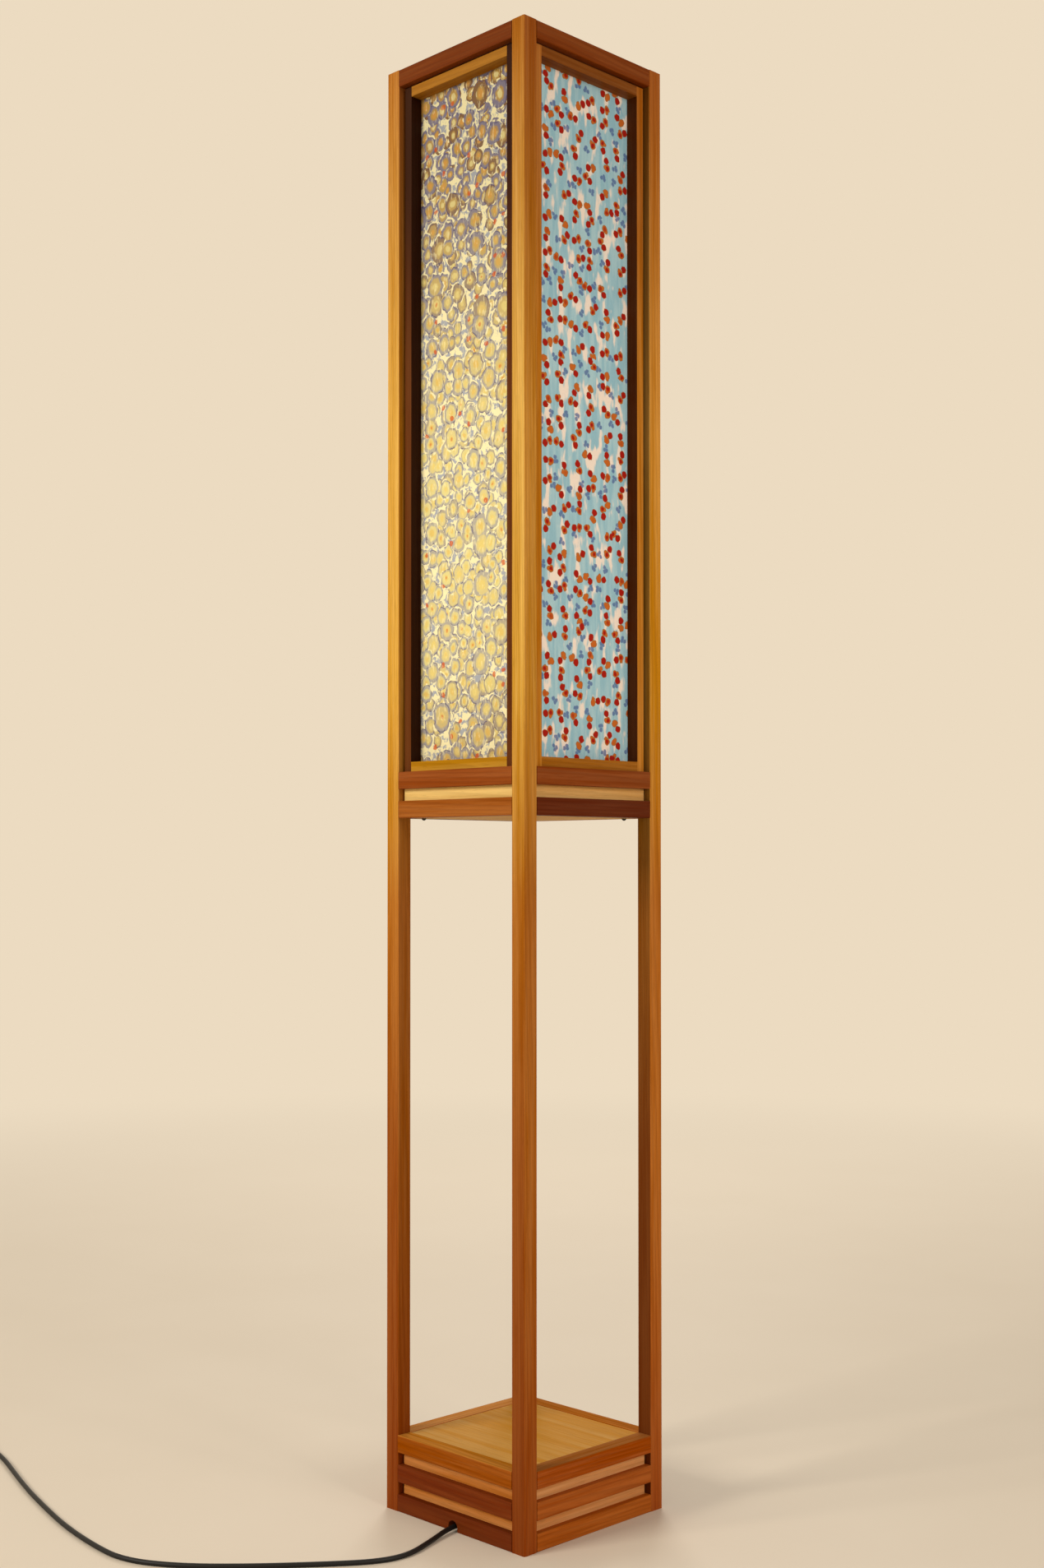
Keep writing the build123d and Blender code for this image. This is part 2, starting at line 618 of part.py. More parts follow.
# ---- In-line switch -----------------------------------------------------------------------------------
half_height = SWITCH_HEIGHT / 2


def switch_outline(height):
    """The switch's outline in plan, at a height."""
    with BuildSketch(Plane.XY.offset(height)) as outline:
        with Locations(SWITCH_CENTRE):
            RectangleRounded(SWITCH_LENGTH, SWITCH_WIDTH, SWITCH_CORNER)
    return outline.sketch


with BuildPart() as switch_base:
    add(switch_outline(0))
    extrude(amount=half_height - SHELL_AIR)
    fillet(switch_base.faces().sort_by(Axis.Z)[0].edges(), SWITCH_EDGE)
    for end in (-1, 1):
        root_x = switch_x + end * SWITCH_LENGTH / 2
        neck_root = Plane(origin=(root_x, switch_y, SWITCH_CORD_Z), z_dir=(end, 0, 0))
        with BuildSketch(neck_root):
            Circle(NECK_ROOT_RADIUS)
        with BuildSketch(neck_root.offset(NECK_LENGTH)):
            Circle(NECK_TIP_RADIUS)
        loft()
finish(switch_base, "switch_base")

with BuildPart() as switch_cover:
    add(switch_outline(half_height))
    extrude(amount=half_height)
    fillet(switch_cover.faces().sort_by(Axis.Z)[-1].edges(), SWITCH_EDGE)
    with BuildSketch(Plane.XY.offset(half_height)):
        with Locations(SWITCH_CENTRE):
            Rectangle(WINDOW_LENGTH, WINDOW_WIDTH)
    extrude(amount=half_height, mode=Mode.SUBTRACT)
    with Locations(Plane(origin=(switch_x, switch_y, PIVOT_HEIGHT), z_dir=(0, 1, 0))):
        Cylinder(
            PIVOT_RADIUS + PIVOT_AIR,
            WINDOW_WIDTH + 2 * (PIVOT_LENGTH + ROCKER_AIR),
            mode=Mode.SUBTRACT,
        )
finish(switch_cover, "switch_cover")

with BuildPart() as switch_rocker:
    rocker_width = WINDOW_WIDTH - 2 * ROCKER_AIR
    rocker_plane = Plane(
        origin=(switch_x, switch_y - rocker_width / 2, PIVOT_HEIGHT),
        x_dir=Vector(1, 0, 0).rotate(Axis.Y, ROCKER_TILT),
        z_dir=(0, -1, 0),
    )
    with BuildSketch(rocker_plane):
        Polygon(
            (-ROCKER_HALF_LENGTH, ROCKER_END_TOP),
            (0, ROCKER_DIP_TOP),
            (ROCKER_HALF_LENGTH, ROCKER_END_TOP),
            (ROCKER_HALF_LENGTH, ROCKER_END_FOOT),
            (0, -ROCKER_KEEL),
            (-ROCKER_HALF_LENGTH, ROCKER_END_FOOT),
            align=None,
        )
    extrude(amount=-rocker_width)
    with Locations(Plane(origin=(switch_x, switch_y, PIVOT_HEIGHT), z_dir=(0, 1, 0))):
        Cylinder(PIVOT_RADIUS, rocker_width + 2 * PIVOT_LENGTH)
finish(switch_rocker, "switch_rocker")

# ---- Plug ---------------------------------------------------------------------------------------------
tail_radius = COIL_TURN_RADII[0]
tail_x = COIL_CENTRE[0] + math.sqrt(COIL_OUTER**2 - tail_radius**2)
plug_y = COIL_CENTRE[1] - tail_radius
plug_z = PLUG_THICKNESS / 2
plug_x = tail_x + PLUG_RELIEF_LENGTH

with BuildPart() as plug_body:
    with BuildSketch(Plane(origin=(plug_x, plug_y, plug_z), x_dir=(0, 1, 0), z_dir=(1, 0, 0))):
        RectangleRounded(PLUG_WIDTH, PLUG_THICKNESS, PLUG_EDGE)
    extrude(amount=PLUG_BODY_LENGTH)
    relief_tip = Plane(origin=(tail_x, plug_y, plug_z), z_dir=(1, 0, 0))
    with BuildSketch(relief_tip):
        Circle(RELIEF_TIP_RADIUS)
    with BuildSketch(relief_tip.offset(PLUG_RELIEF_LENGTH)):
        Circle(RELIEF_ROOT_RADIUS)
    loft()
finish(plug_body, "plug_body")

with BuildPart() as plug_blades:
    blade_x = plug_x + PLUG_BODY_LENGTH
    with BuildSketch(Plane(origin=(blade_x, plug_y, plug_z), x_dir=(0, 1, 0), z_dir=(1, 0, 0))):
        with Locations((-BLADE_SPREAD / 2, 0), (BLADE_SPREAD / 2, 0)):
            Rectangle(BLADE_THICKNESS, BLADE_WIDTH)
    extrude(amount=BLADE_LENGTH)
    fillet(plug_blades.edges().filter_by(Axis.Y).group_by(Axis.X)[-1], BLADE_WIDTH / 4)
finish(plug_blades, "plug_blades")
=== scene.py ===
# %% [markdown]
# # A tall andon floor lamp
# An andon is a lantern of paper panels in a wooden frame. This one stands 1.8 m tall: four square posts
# carry a paper shade above, stand open in the middle, and end in a slatted foot with a small shelf.
# The timber, the fittings and the papers are loaded from the CAD frame at their real size, one object for
# each piece. This script gives them their looks, lays the cord as one soft curve, models the moulded plug and
# the strap around the coil, and sets the studio around them.

# %% Load the frame
import math

import bpy
import numpy as np
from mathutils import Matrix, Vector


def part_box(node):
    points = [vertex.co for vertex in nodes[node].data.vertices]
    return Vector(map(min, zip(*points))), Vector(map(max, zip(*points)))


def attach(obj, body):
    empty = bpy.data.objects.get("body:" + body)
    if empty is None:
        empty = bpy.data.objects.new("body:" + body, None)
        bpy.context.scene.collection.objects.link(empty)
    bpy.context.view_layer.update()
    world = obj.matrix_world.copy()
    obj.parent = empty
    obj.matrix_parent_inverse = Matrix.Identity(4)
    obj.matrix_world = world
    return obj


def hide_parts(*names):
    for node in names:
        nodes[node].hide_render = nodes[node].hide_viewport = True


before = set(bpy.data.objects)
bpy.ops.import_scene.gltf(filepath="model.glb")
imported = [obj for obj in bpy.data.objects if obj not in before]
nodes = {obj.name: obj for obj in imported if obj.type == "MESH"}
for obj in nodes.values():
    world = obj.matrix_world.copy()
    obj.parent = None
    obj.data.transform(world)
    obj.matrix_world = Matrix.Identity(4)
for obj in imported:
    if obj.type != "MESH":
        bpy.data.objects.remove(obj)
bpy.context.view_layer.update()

# %% [markdown]
# ## The camera
# The lamp is looked at corner on, from 2.4 m away and 0.8 m up. Tilting a camera up makes upright posts
# lean together, so an architect tilts it hardly at all and shifts the lens instead. The two shifts below
# come from the place in the picture that the lens points at.

# %% Camera
PICTURE = (1270, 1907)  # width and height in pixels
FOCAL_LENGTH = 2324.3  # in the same pixels
OPTICAL_CENTRE = (621.1, 1017.0)  # from the picture's top left corner
CAMERA_PLACE = (1.694, -1.698, 0.7995)
CAMERA_TURN = math.atan2(0.7113, 0.7029)  # about the vertical, from looking along +Y
CAMERA_TILT = math.radians(0.92)  # upwards
FILM_HEIGHT = 36.0  # mm

camera_data = bpy.data.cameras.new("camera")
camera_data.sensor_width = FILM_HEIGHT
camera_data.lens = FOCAL_LENGTH / PICTURE[1] * FILM_HEIGHT
camera_data.shift_x = (PICTURE[0] / 2 - OPTICAL_CENTRE[0]) / PICTURE[1]
camera_data.shift_y = (OPTICAL_CENTRE[1] - PICTURE[1] / 2) / PICTURE[1]
camera = bpy.data.objects.new("camera", camera_data)
camera.location = CAMERA_PLACE
camera.rotation_euler = (math.pi / 2 + CAMERA_TILT, 0, CAMERA_TURN)
bpy.context.collection.objects.link(camera)
bpy.context.scene.camera = camera
print("lens", round(camera_data.lens, 2), "mm")

# %% [markdown]
# ## The cord
# A mains lead is a fixed length of something springy: it keeps a smooth curvature and has no corners. A
# NURBS curve of order 3 behaves like that. It is pulled towards each point of a route without a kink, and
# a round bevel gives it its thickness. The first stretch lies in a loose curve from the foot to the
# in-line switch. The second one is put away in a round coil of five and a quarter turns in two layers, which
# ends in the plug. A coil is too regular to place by hand, so a formula gives its points: the angle grows
# evenly, and the radius and the height change by one cord diameter where a turn makes way for the next.

# %% Cord helper
CORD_DIAMETER = 0.006


def cord_curve(name, points):
    """A round cord along one smooth curve. Between its ends the curve is at each moment a weighted mean of
    three neighbouring points, so it turns gently inside every corner of the route. Each point carries the
    cord's radius, which scales the bevel of 1 m, so that the curve's box is as thin as the cord is."""
    curve = bpy.data.curves.new(name, "CURVE")
    curve.dimensions = "3D"
    curve.bevel_depth = 1.0
    curve.bevel_resolution = 5  # how round the section is
    curve.resolution_u = 10  # steps from one point of the route to the next
    curve.use_fill_caps = True
    spline = curve.splines.new("NURBS")
    spline.points.add(len(points) - 1)
    spline.points.foreach_set("co", np.column_stack([points, np.ones(len(points))]).ravel())
    spline.points.foreach_set("radius", np.full(len(points), CORD_DIAMETER / 2))
    spline.order_u = 3
    spline.use_endpoint_u = True
    piece = bpy.data.objects.new(name, curve)
    bpy.context.collection.objects.link(piece)
    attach(piece, "root")
    print(name, "with", len(points), "points")
    return piece


# %% Cord on the floor
EXIT = (0.0, -0.10045, 0.006)
FLOOR_LINE = CORD_DIAMETER / 2  # height of the cord's centre where it lies on the floor
SWITCH_LINE = 0.009  # and where it enters the switch or the plug
floor_points = [
    (0.012, -0.167), (0.028, -0.218), (0.018, -0.258), (-0.021, -0.309), (-0.073, -0.371), (-0.132, -0.429),
    (-0.193, -0.462), (-0.262, -0.459), (-0.338, -0.448), (-0.413, -0.430), (-0.488, -0.410),
    (-0.557, -0.388), (-0.620, -0.367), (-0.675, -0.355),
]
floor_route = [EXIT, (0.0, -0.126, 0.006)]
floor_route += [(x, y, FLOOR_LINE) for x, y in floor_points]
floor_route += [(-0.712, -0.350, SWITCH_LINE), (-0.737, -0.350, SWITCH_LINE)]
floor_cord = cord_curve("cord_on_floor", floor_route)

# %% Coiled cord
COIL_CENTRE = (-0.839, -0.438)
COIL_START = math.pi  # the lead meets the coil on its far left
COIL_TURNS = 5.25
POINTS_PER_TURN = 16
RADIUS_STOPS = (0.8, 0.95, 1.8, 1.95, 3.55, 3.7, 4.4, 4.55)  # in turns, and the radius at each
RADII = (0.040, 0.034, 0.034, 0.028, 0.028, 0.034, 0.034, 0.040)
LAYER_STOPS = (2.7, 2.85)  # in turns, the climb onto the upper layer
PLUG_LINE = COIL_CENTRE[1] - RADII[-1]  # in line with the end of the last turn
STRAIGHT_END = COIL_CENTRE[0] + 0.009  # where the cord has left the last turn
PLUG_TAIL = COIL_CENTRE[0] + 0.0158  # where its strain relief starts

lead_route = [
    (-0.831, -0.350, SWITCH_LINE),
    (-0.849, -0.350, SWITCH_LINE),
    (-0.868, -0.361, 0.006),
    (-0.879, -0.380, FLOOR_LINE),
    (-0.879, -0.422, FLOOR_LINE),
]
turn = np.arange(COIL_TURNS * POINTS_PER_TURN + 1) / POINTS_PER_TURN
coil_radius = np.interp(turn, RADIUS_STOPS, RADII)
coil_height = np.interp(turn, LAYER_STOPS, [FLOOR_LINE, SWITCH_LINE])
pull_in = 0.75 + 0.25 * math.cos(2 * math.pi / POINTS_PER_TURN)  # how far inside its points the curve runs
coil_angle = COIL_START + 2 * math.pi * turn
coil_route = np.column_stack(
    [
        COIL_CENTRE[0] + coil_radius / pull_in * np.cos(coil_angle),
        COIL_CENTRE[1] + coil_radius / pull_in * np.sin(coil_angle),
        coil_height,
    ]
)
tail_route = [(STRAIGHT_END, PLUG_LINE, SWITCH_LINE), (PLUG_TAIL, PLUG_LINE, SWITCH_LINE)]
coiled_cord = cord_curve("cord_in_coil", np.vstack([lead_route, coil_route, tail_route]))

# %% [markdown]
# ## Surfaces from a grid
# A moulded plug has no flat side: it is a stack of cross-sections that change from a circle to a rounded
# rectangle. Such a shape is a function of two parameters, how far along and how far around. The helper
# joins each row of points to the next with quads, and closes the two ends.

# %% Grid surface helpers


def tube_surface(name, rows):
    """A closed skin over rows of points. The rows run along the piece, and each goes once around it. Points
    next to each other, within a row and from row to row, share a four-sided face. A fan closes each end."""
    count, around, _ = rows.shape
    ends = np.array([rows[0].mean(axis=0), rows[-1].mean(axis=0)])
    points = np.vstack([rows.reshape(-1, 3), ends])
    index = np.arange(count * around).reshape(count, around)
    following = np.roll(index, -1, axis=1)
    sides = np.stack([index[:-1], following[:-1], following[1:], index[1:]], axis=-1).reshape(-1, 4)
    first_hub = np.full(around, count * around)
    first_fan = np.stack([first_hub, following[0], index[0]], axis=-1)
    last_fan = np.stack([first_hub + 1, index[-1], following[-1]], axis=-1)
    mesh = bpy.data.meshes.new(name)
    mesh.from_pydata(points.tolist(), [], sides.tolist() + first_fan.tolist() + last_fan.tolist())
    mesh.polygons.foreach_set("use_smooth", np.ones(len(mesh.polygons), dtype=bool))
    mesh.update()
    piece = bpy.data.objects.new(name, mesh)
    bpy.context.collection.objects.link(piece)
    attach(piece, "root")
    print(name, "with", len(mesh.polygons), "faces")
    return piece


def smooth(value):
    """From 0 to 1 with a level start and end: three squares of the value less two cubes of it. The value is
    first kept within 0 and 1."""
    value = np.clip(value, 0, 1)
    return value * value * (3 - 2 * value)


def signed_power(value, power):
    """The value without its sign, raised to the power, and then with its sign again."""
    return np.sign(value) * np.abs(value) ** power


def superellipse(half_width, half_height, power, around):
    """Points of a closed outline that is an ellipse at power 2 and squarer above it: cosine and sine of the
    angle, each raised to 2 / power with its sign kept, times the half width and the half height."""
    angle = np.linspace(0, 2 * math.pi, around, endpoint=False)
    wide = signed_power(np.cos(angle), 2 / power[:, None])
    high = signed_power(np.sin(angle), 2 / power[:, None])
    return half_width[:, None] * wide, half_height[:, None] * high


# %% Plug
PLUG_ROWS = 260
PLUG_AROUND = 48
PLUG_RELIEF = 0.030  # length of the strain relief
PLUG_BODY = 0.028  # and of the body
RELIEF_RADII = (0.0040, 0.0066)
RELIEF_RINGS = 6
RELIEF_GROOVE = 0.0006
GROOVE_LEVEL = 0.4  # a groove is where a cosine along the relief is above this
PLAIN_TAIL = 0.003  # no groove this near to the cord
PLAIN_NECK = 0.002  # nor this near to the body
PLUG_HALF_WIDTH = 0.0125
PLUG_HALF_HEIGHT = 0.0090
SQUARER = 2.2  # added to the superellipse's power in the body
SHOULDER = 0.006  # length over which the relief swells into the body
NOSE_LENGTH = 0.002  # of the rounded edge around the face with the blades
NOSE_DEPTH = 0.0012
GRIP_START = 0.008  # in the body
GRIP_END = 0.023
GRIP_PITCH = 0.0028
GRIP_DEPTH = 0.00045

along = np.linspace(0, PLUG_RELIEF + PLUG_BODY, PLUG_ROWS)
in_body = along - PLUG_RELIEF
swell = smooth(in_body / SHOULDER)
nose = np.clip((in_body - PLUG_BODY + NOSE_LENGTH) / NOSE_LENGTH, 0, 1)
rounding = NOSE_DEPTH * (1 - np.sqrt(1 - nose**2))
groove = np.cos(2 * math.pi * RELIEF_RINGS * along / PLUG_RELIEF) - GROOVE_LEVEL
groove = np.clip(groove, 0, 1) / (1 - GROOVE_LEVEL) * (along > PLAIN_TAIL) * (in_body < -PLAIN_NECK)
taper = np.interp(along, [0, PLUG_RELIEF], RELIEF_RADII) - RELIEF_GROOVE * groove
in_grip = (in_body > GRIP_START) & (in_body < GRIP_END)
grip = GRIP_DEPTH * in_grip * (0.5 - 0.5 * np.cos(2 * math.pi * (in_body - GRIP_START) / GRIP_PITCH))
half_width = taper + (PLUG_HALF_WIDTH - RELIEF_RADII[1]) * swell - rounding - grip
half_height = taper + (PLUG_HALF_HEIGHT - RELIEF_RADII[1]) * swell - rounding
wide, high = superellipse(half_width, half_height, 2 + SQUARER * swell, PLUG_AROUND)
forward = np.broadcast_to((PLUG_TAIL + along)[:, None], wide.shape)
plug = tube_surface("plug_moulding", np.stack([forward, PLUG_LINE + wide, SWITCH_LINE + high], axis=-1))
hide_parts("plug_body")

# %% [markdown]
# ## The strap
# A hook-and-loop strap holds the coil. It is a flat band that goes once around the bundle and laps over its
# own start. Its line is a rounded rectangle that widens by the band's thickness in the lap, and at each point
# of the line the band's section stands square to it. The same skin over rows of points makes it.

# %% Strap
STRAP_ROWS = 150
STRAP_AROUND = 20
STRAP_HALF_WIDTH = 0.0035
STRAP_HALF_THICKNESS = 0.00045
STRAP_POWER = 6.0  # of its section's superellipse, nearly a rectangle
STRAP_ANGLE = math.radians(40)  # where on the coil it sits
STRAP_TURNS = 1.22
STRAP_START = math.pi / 2 - 0.6  # where in the bundle's section it starts
BUNDLE_MIDDLE = (0.034, 0.00625)  # out from the coil's centre, and up
BUNDLE_HALF = (0.0094, 0.0058)
BUNDLE_CORNER = 0.45  # power of cosine and sine in its rounded rectangle
LAP_START = 0.92  # in turns, where the strap starts to climb onto itself
LAP_CLIMB = 0.12  # in turns, how long it climbs
LAP_LIFT = 2.3 * STRAP_HALF_THICKNESS
TIP_LENGTH = 0.03  # in turns

lap = np.linspace(0, STRAP_TURNS, STRAP_ROWS)
lift = LAP_LIFT * smooth((lap - LAP_START) / LAP_CLIMB)
strap_angle = STRAP_START - 2 * math.pi * lap
strap_out = (BUNDLE_HALF[0] + lift) * signed_power(np.cos(strap_angle), BUNDLE_CORNER)
strap_up = (BUNDLE_HALF[1] + lift) * signed_power(np.sin(strap_angle), BUNDLE_CORNER)
way = np.gradient(np.column_stack([strap_out, strap_up]), axis=0)
way = way / np.linalg.norm(way, axis=1)[:, None]
square_to = np.column_stack([-way[:, 1], way[:, 0]])
tip = np.sqrt(np.clip((STRAP_TURNS - lap) / TIP_LENGTH, 0, 1) * np.clip(lap / TIP_LENGTH, 0, 1))
power = np.full(STRAP_ROWS, STRAP_POWER)
broad, thick = superellipse(STRAP_HALF_WIDTH * tip, STRAP_HALF_THICKNESS * tip, power, STRAP_AROUND)
out = BUNDLE_MIDDLE[0] + strap_out[:, None] + thick * square_to[:, :1]
up = BUNDLE_MIDDLE[1] + strap_up[:, None] + thick * square_to[:, 1:]
strap_rows = np.stack(
    [
        COIL_CENTRE[0] + out * math.cos(STRAP_ANGLE) - broad * math.sin(STRAP_ANGLE),
        COIL_CENTRE[1] + out * math.sin(STRAP_ANGLE) + broad * math.cos(STRAP_ANGLE),
        up,
    ],
    axis=-1,
)
strap = tube_surface("coil_strap", strap_rows)
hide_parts("coil_tie")
print("strap from", strap_rows[..., 2].min().round(5), "to", strap_rows[..., 2].max().round(5), "m high")

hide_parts("cord")
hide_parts("cord_lead", "cord_coil")

# %% [markdown]
# ## Recipes for finishes
# Every finish is a small program of shader nodes. The class below keeps the programs short: one call makes a
# node, feeds its inputs with plain numbers or with other nodes, and hands back its result. All patterns are
# worked out from the Object coordinates, which are metres in the lamp's own space, so a size in a recipe is
# a real size, and two neighbouring pieces never show the same stretch of grain.

# %% Recipe helper


def tint(red, green, blue):
    """A colour given in the usual 0 to 255 steps, as the linear light that shaders work with."""
    steps = np.array([red, green, blue]) / 255
    linear = np.where(steps <= 0.04045, steps / 12.92, ((steps + 0.055) / 1.055) ** 2.4)
    return (*linear.tolist(), 1.0)


class Recipe:
    """A material in the making: its node tree and short ways to add to it."""

    def __init__(self, name, roughness):
        self.material = bpy.data.materials.new(name)
        self.material.use_nodes = True
        self.tree = self.material.node_tree
        self.shader = self.tree.nodes["Principled BSDF"]
        self.set("Roughness", roughness)
        self.place = self.tree.nodes.new("ShaderNodeTexCoord").outputs["Object"]

    def set(self, socket, value):
        """Feed one of the shader's own inputs with a value or with another node's result."""
        self.feed(self.shader.inputs[socket], value)

    def feed(self, socket, value):
        if isinstance(value, bpy.types.NodeSocket):
            self.tree.links.new(value, socket)
        else:
            socket.default_value = value

    def node(self, kind, settings=None, **inputs):
        """Add a node. The inputs go by name, with an underscore for a space."""
        made = self.tree.nodes.new("ShaderNode" + kind)
        for key, value in (settings or {}).items():
            setattr(made, key, value)
        for key, value in inputs.items():
            self.feed(made.inputs[key.replace("_", " ")], value)
        return made

    def maths(self, operation, first, second=0.5, third=0.5):
        """A number worked out from up to three others."""
        made = self.node("Math", {"operation": operation})
        for socket, value in zip(made.inputs, (first, second, third)):
            self.feed(socket, value)
        return made.outputs[0]

    def times(self, first, second):
        return self.maths("MULTIPLY", first, second)

    def between(self, factor, first, last):
        """A number that goes from the first to the last as the factor goes from 0 to 1."""
        return self.maths("MULTIPLY_ADD", factor, last - first, first)

    def vector_maths(self, operation, *values):
        """Another vector, or one number where that is what the operation gives."""
        made = self.node("VectorMath", {"operation": operation})
        for socket, value in zip(made.inputs, values):
            self.feed(socket, value)
        return made.outputs["Value" if operation in ("LENGTH", "DOT_PRODUCT") else "Vector"]

    def mix(self, factor, first, second):
        """A colour that goes from the first to the second as the factor goes from 0 to 1."""
        made = self.node("Mix", {"data_type": "RGBA"})
        for position, value in ((0, factor), (6, first), (7, second)):
            self.feed(made.inputs[position], value)
        return made.outputs[2]

    def toned(self, colour, brightness, **turns):
        """The colour times a brightness, with its hue and its saturation turned where they are given."""
        return self.node("HueSaturation", Color=colour, Value=brightness, **turns).outputs[0]

    def ramp(self, factor, *stops):
        """A colour looked up by the factor, from stops of a position and a colour."""
        made = self.node("ValToRGB", Fac=factor)
        elements = made.color_ramp.elements
        for number, (position, shade) in enumerate(stops):
            element = elements[number] if number < 2 else elements.new(position)
            element.position = position
            element.color = shade
        return made.outputs["Color"]

    def step(self, value, low, high):
        """0 up to the low value, 1 from the high one, and a smooth slope between them."""
        made = self.node("MapRange", {"interpolation_type": "SMOOTHSTEP"}, Value=value)
        made.inputs["From Min"].default_value = low
        made.inputs["From Max"].default_value = high
        return made.outputs[0]

    def stretch(self, vector, scale, shift=(0, 0, 0)):
        """The vector times a scale on each axis, plus a shift."""
        return self.node("Mapping", Vector=vector, Scale=scale, Location=shift).outputs[0]

    def noise(self, vector, scale, detail=3.0, roughness=0.5):
        made = self.node("TexNoise", Vector=vector, Scale=scale, Detail=detail, Roughness=roughness)
        return made.outputs[0]

    def bump(self, height, strength, distance):
        """Let the light see a height in the surface."""
        made = self.node("Bump", Height=height, Strength=strength, Distance=distance)
        self.set("Normal", made.outputs[0])

    def axes(self, vector=None):
        """The three coordinates, one by one."""
        split = self.node("SeparateXYZ")
        self.feed(split.inputs[0], vector or self.place)
        return split.outputs

    def finish(self, *names):
        """Give this material to CAD pieces, by their nodes' names."""
        for name in names:
            for material_slot in nodes[name].material_slots:
                material_slot.material = self.material

    def cover(self, *pieces):
        """Give this material to new pieces."""
        for piece in pieces:
            piece.data.materials.append(self.material)


# %% [markdown]
# ## Timber
# Sawn softwood shows broad soft bands, lines where each year's growth ends, fine fibres and tiny pores. The
# bands, fibres and pores are noise at three scales, drawn out thirty times along the grain. The years are a
# saw tooth: of a slanting distance, counted in years, only the fraction is kept, so the tone darkens slowly
# and ends at once, and a slow noise bends it. Seen from its end, a post shows rings in place of lines. Oiled
# wood is a deep, warm colour with only a soft shine, so the specular level is low: a stronger one would lay a
# pale veil over the brown.

# %% Wood recipe
ALONG_GRAIN = {"X": (0.03, 1, 1), "Y": (1, 0.03, 1), "Z": (1, 1, 0.03)}
BANDS = 75.0  # scale of the noise: how many there are in a metre across the grain
FIBRES = 330.0
PORES = 1500.0
YEARS = 330.0
BENDS = 28.0
BEND_REACH = 5.0  # in years
RING_SLOPE = (0.72, 0.55, 0.42)  # the years cross the stick aslant
LATE_WOOD = tint(66, 26, 6)
OILED_SHINE = 0.05
TONE_SPREAD = 0.02
chance = np.random.default_rng(7)


def grain_vector(recipe, grain):
    """The coordinates, drawn out along the grain from a random start, so that no two sticks are alike."""
    return recipe.stretch(recipe.place, ALONG_GRAIN[grain], tuple(chance.uniform(0, 9, 3).tolist()))


def any_tone():
    """A brightness a little above or below 1."""
    return 1 + chance.uniform(-TONE_SPREAD, TONE_SPREAD)


def wood_look(recipe, vector, colour, contrast, tone=1.0):
    """Colour the recipe as wood: bands and lines darken and redden the given colour."""
    bands = recipe.noise(vector, BANDS, 2.0, 0.55)
    fibres = recipe.noise(vector, FIBRES, 2.0, 0.6)
    pores = recipe.noise(vector, PORES, 1.0)
    figure = recipe.step(recipe.maths("MULTIPLY_ADD", bands, 0.65, recipe.times(fibres, 0.35)), 0.34, 0.66)
    deep = recipe.toned(colour, (1 - contrast) * tone, Hue=0.494, Saturation=1.06)
    pale = recipe.toned(colour, (1 + 0.5 * contrast) * tone, Hue=0.502, Saturation=0.98)
    slant = recipe.vector_maths("DOT_PRODUCT", vector, RING_SLOPE)
    bend = recipe.times(recipe.noise(vector, BENDS, 1.0), BEND_REACH)
    year = recipe.maths("FRACT", recipe.maths("MULTIPLY_ADD", slant, YEARS, bend))
    late = recipe.times(recipe.step(year, 0.30, 0.90), recipe.step(year, 1.0, 0.93))
    late = recipe.times(late, 0.9 * contrast)
    dark_pores = recipe.times(recipe.step(pores, 0.56, 0.72), 0.22)
    grained = recipe.mix(figure, deep, pale)
    recipe.set("Base Color", recipe.mix(recipe.maths("MAXIMUM", late, dark_pores), grained, LATE_WOOD))
    recipe.set("Specular IOR Level", OILED_SHINE)
    recipe.bump(recipe.maths("SUBTRACT", fibres, recipe.times(pores, 0.6)), 0.25, 0.0003)


# %% [markdown]
# ## Posts
# The posts turn from a red brown at the foot to gold beside the shade and back to brown at the head. This
# ramp is painted light, brightest beside the shade and dimmer at the foot and the head, over the wood's own
# colour. The recipe takes a colour ramp over the height for the faces that look along Y, a second one for
# those that look along X, and picks between them by the face's own normal. Each post has a brightness of its
# own for either pair of faces. Faces that look inwards, to the lamp's axis, are darker: that is painted
# shade.

# %% Posts
POST_HEIGHT = 1.8
POST_CONTRAST = 0.18
RAMP_HEIGHTS = (0.0, 0.26, 0.42, 0.56, 0.74, 1.0)  # as shares of the post's height
# These ramps hold painted light: bright beside the shade, darker at the foot and the head.
Y_FACES_PAINTED_LIGHT = ((140, 65, 12), (158, 84, 20), (184, 112, 32), (226, 171, 72), (233, 182, 88), (176, 109, 34))
X_FACES_PAINTED_LIGHT = ((168, 80, 18), (196, 115, 37), (192, 113, 36), (224, 157, 60), (221, 150, 54), (170, 92, 28))
POST_TONES = {  # brightness of the faces that look along Y, and of those that look along X
    "front_post": (0.91, 0.84),
    "left_post": (1.0, 1.0),
    "right_post": (1.0, 0.98),
    "rear_post": (0.94, 0.94),
}
# Painted shade: the faces that look inwards are darkened to these shares.
INNER_PAINTED_SHADE = (0.50, 0.72)  # brightness of the faces that look inwards, in the same order


def height_ramp(recipe, height, colours):
    """A colour ramp over the height of a post, which carries the painted light along it."""
    stops = [(place, tint(*colour)) for place, colour in zip(RAMP_HEIGHTS, colours)]
    return recipe.ramp(recipe.maths("DIVIDE", height, POST_HEIGHT), *stops)


def face_normal(recipe):
    """The direction that the face looks in, as three numbers."""
    return recipe.axes(recipe.node("NewGeometry").outputs["True Normal"])


def outwardness(recipe):
    """Above 0 on a face that looks away from the lamp's axis, and below 0 on one that looks towards it: X
    times the normal's X, plus Y times the normal's Y."""
    x, y, _ = recipe.axes()
    normal_x, normal_y, _ = face_normal(recipe)
    return recipe.maths("MULTIPLY_ADD", x, normal_x, recipe.times(y, normal_y))


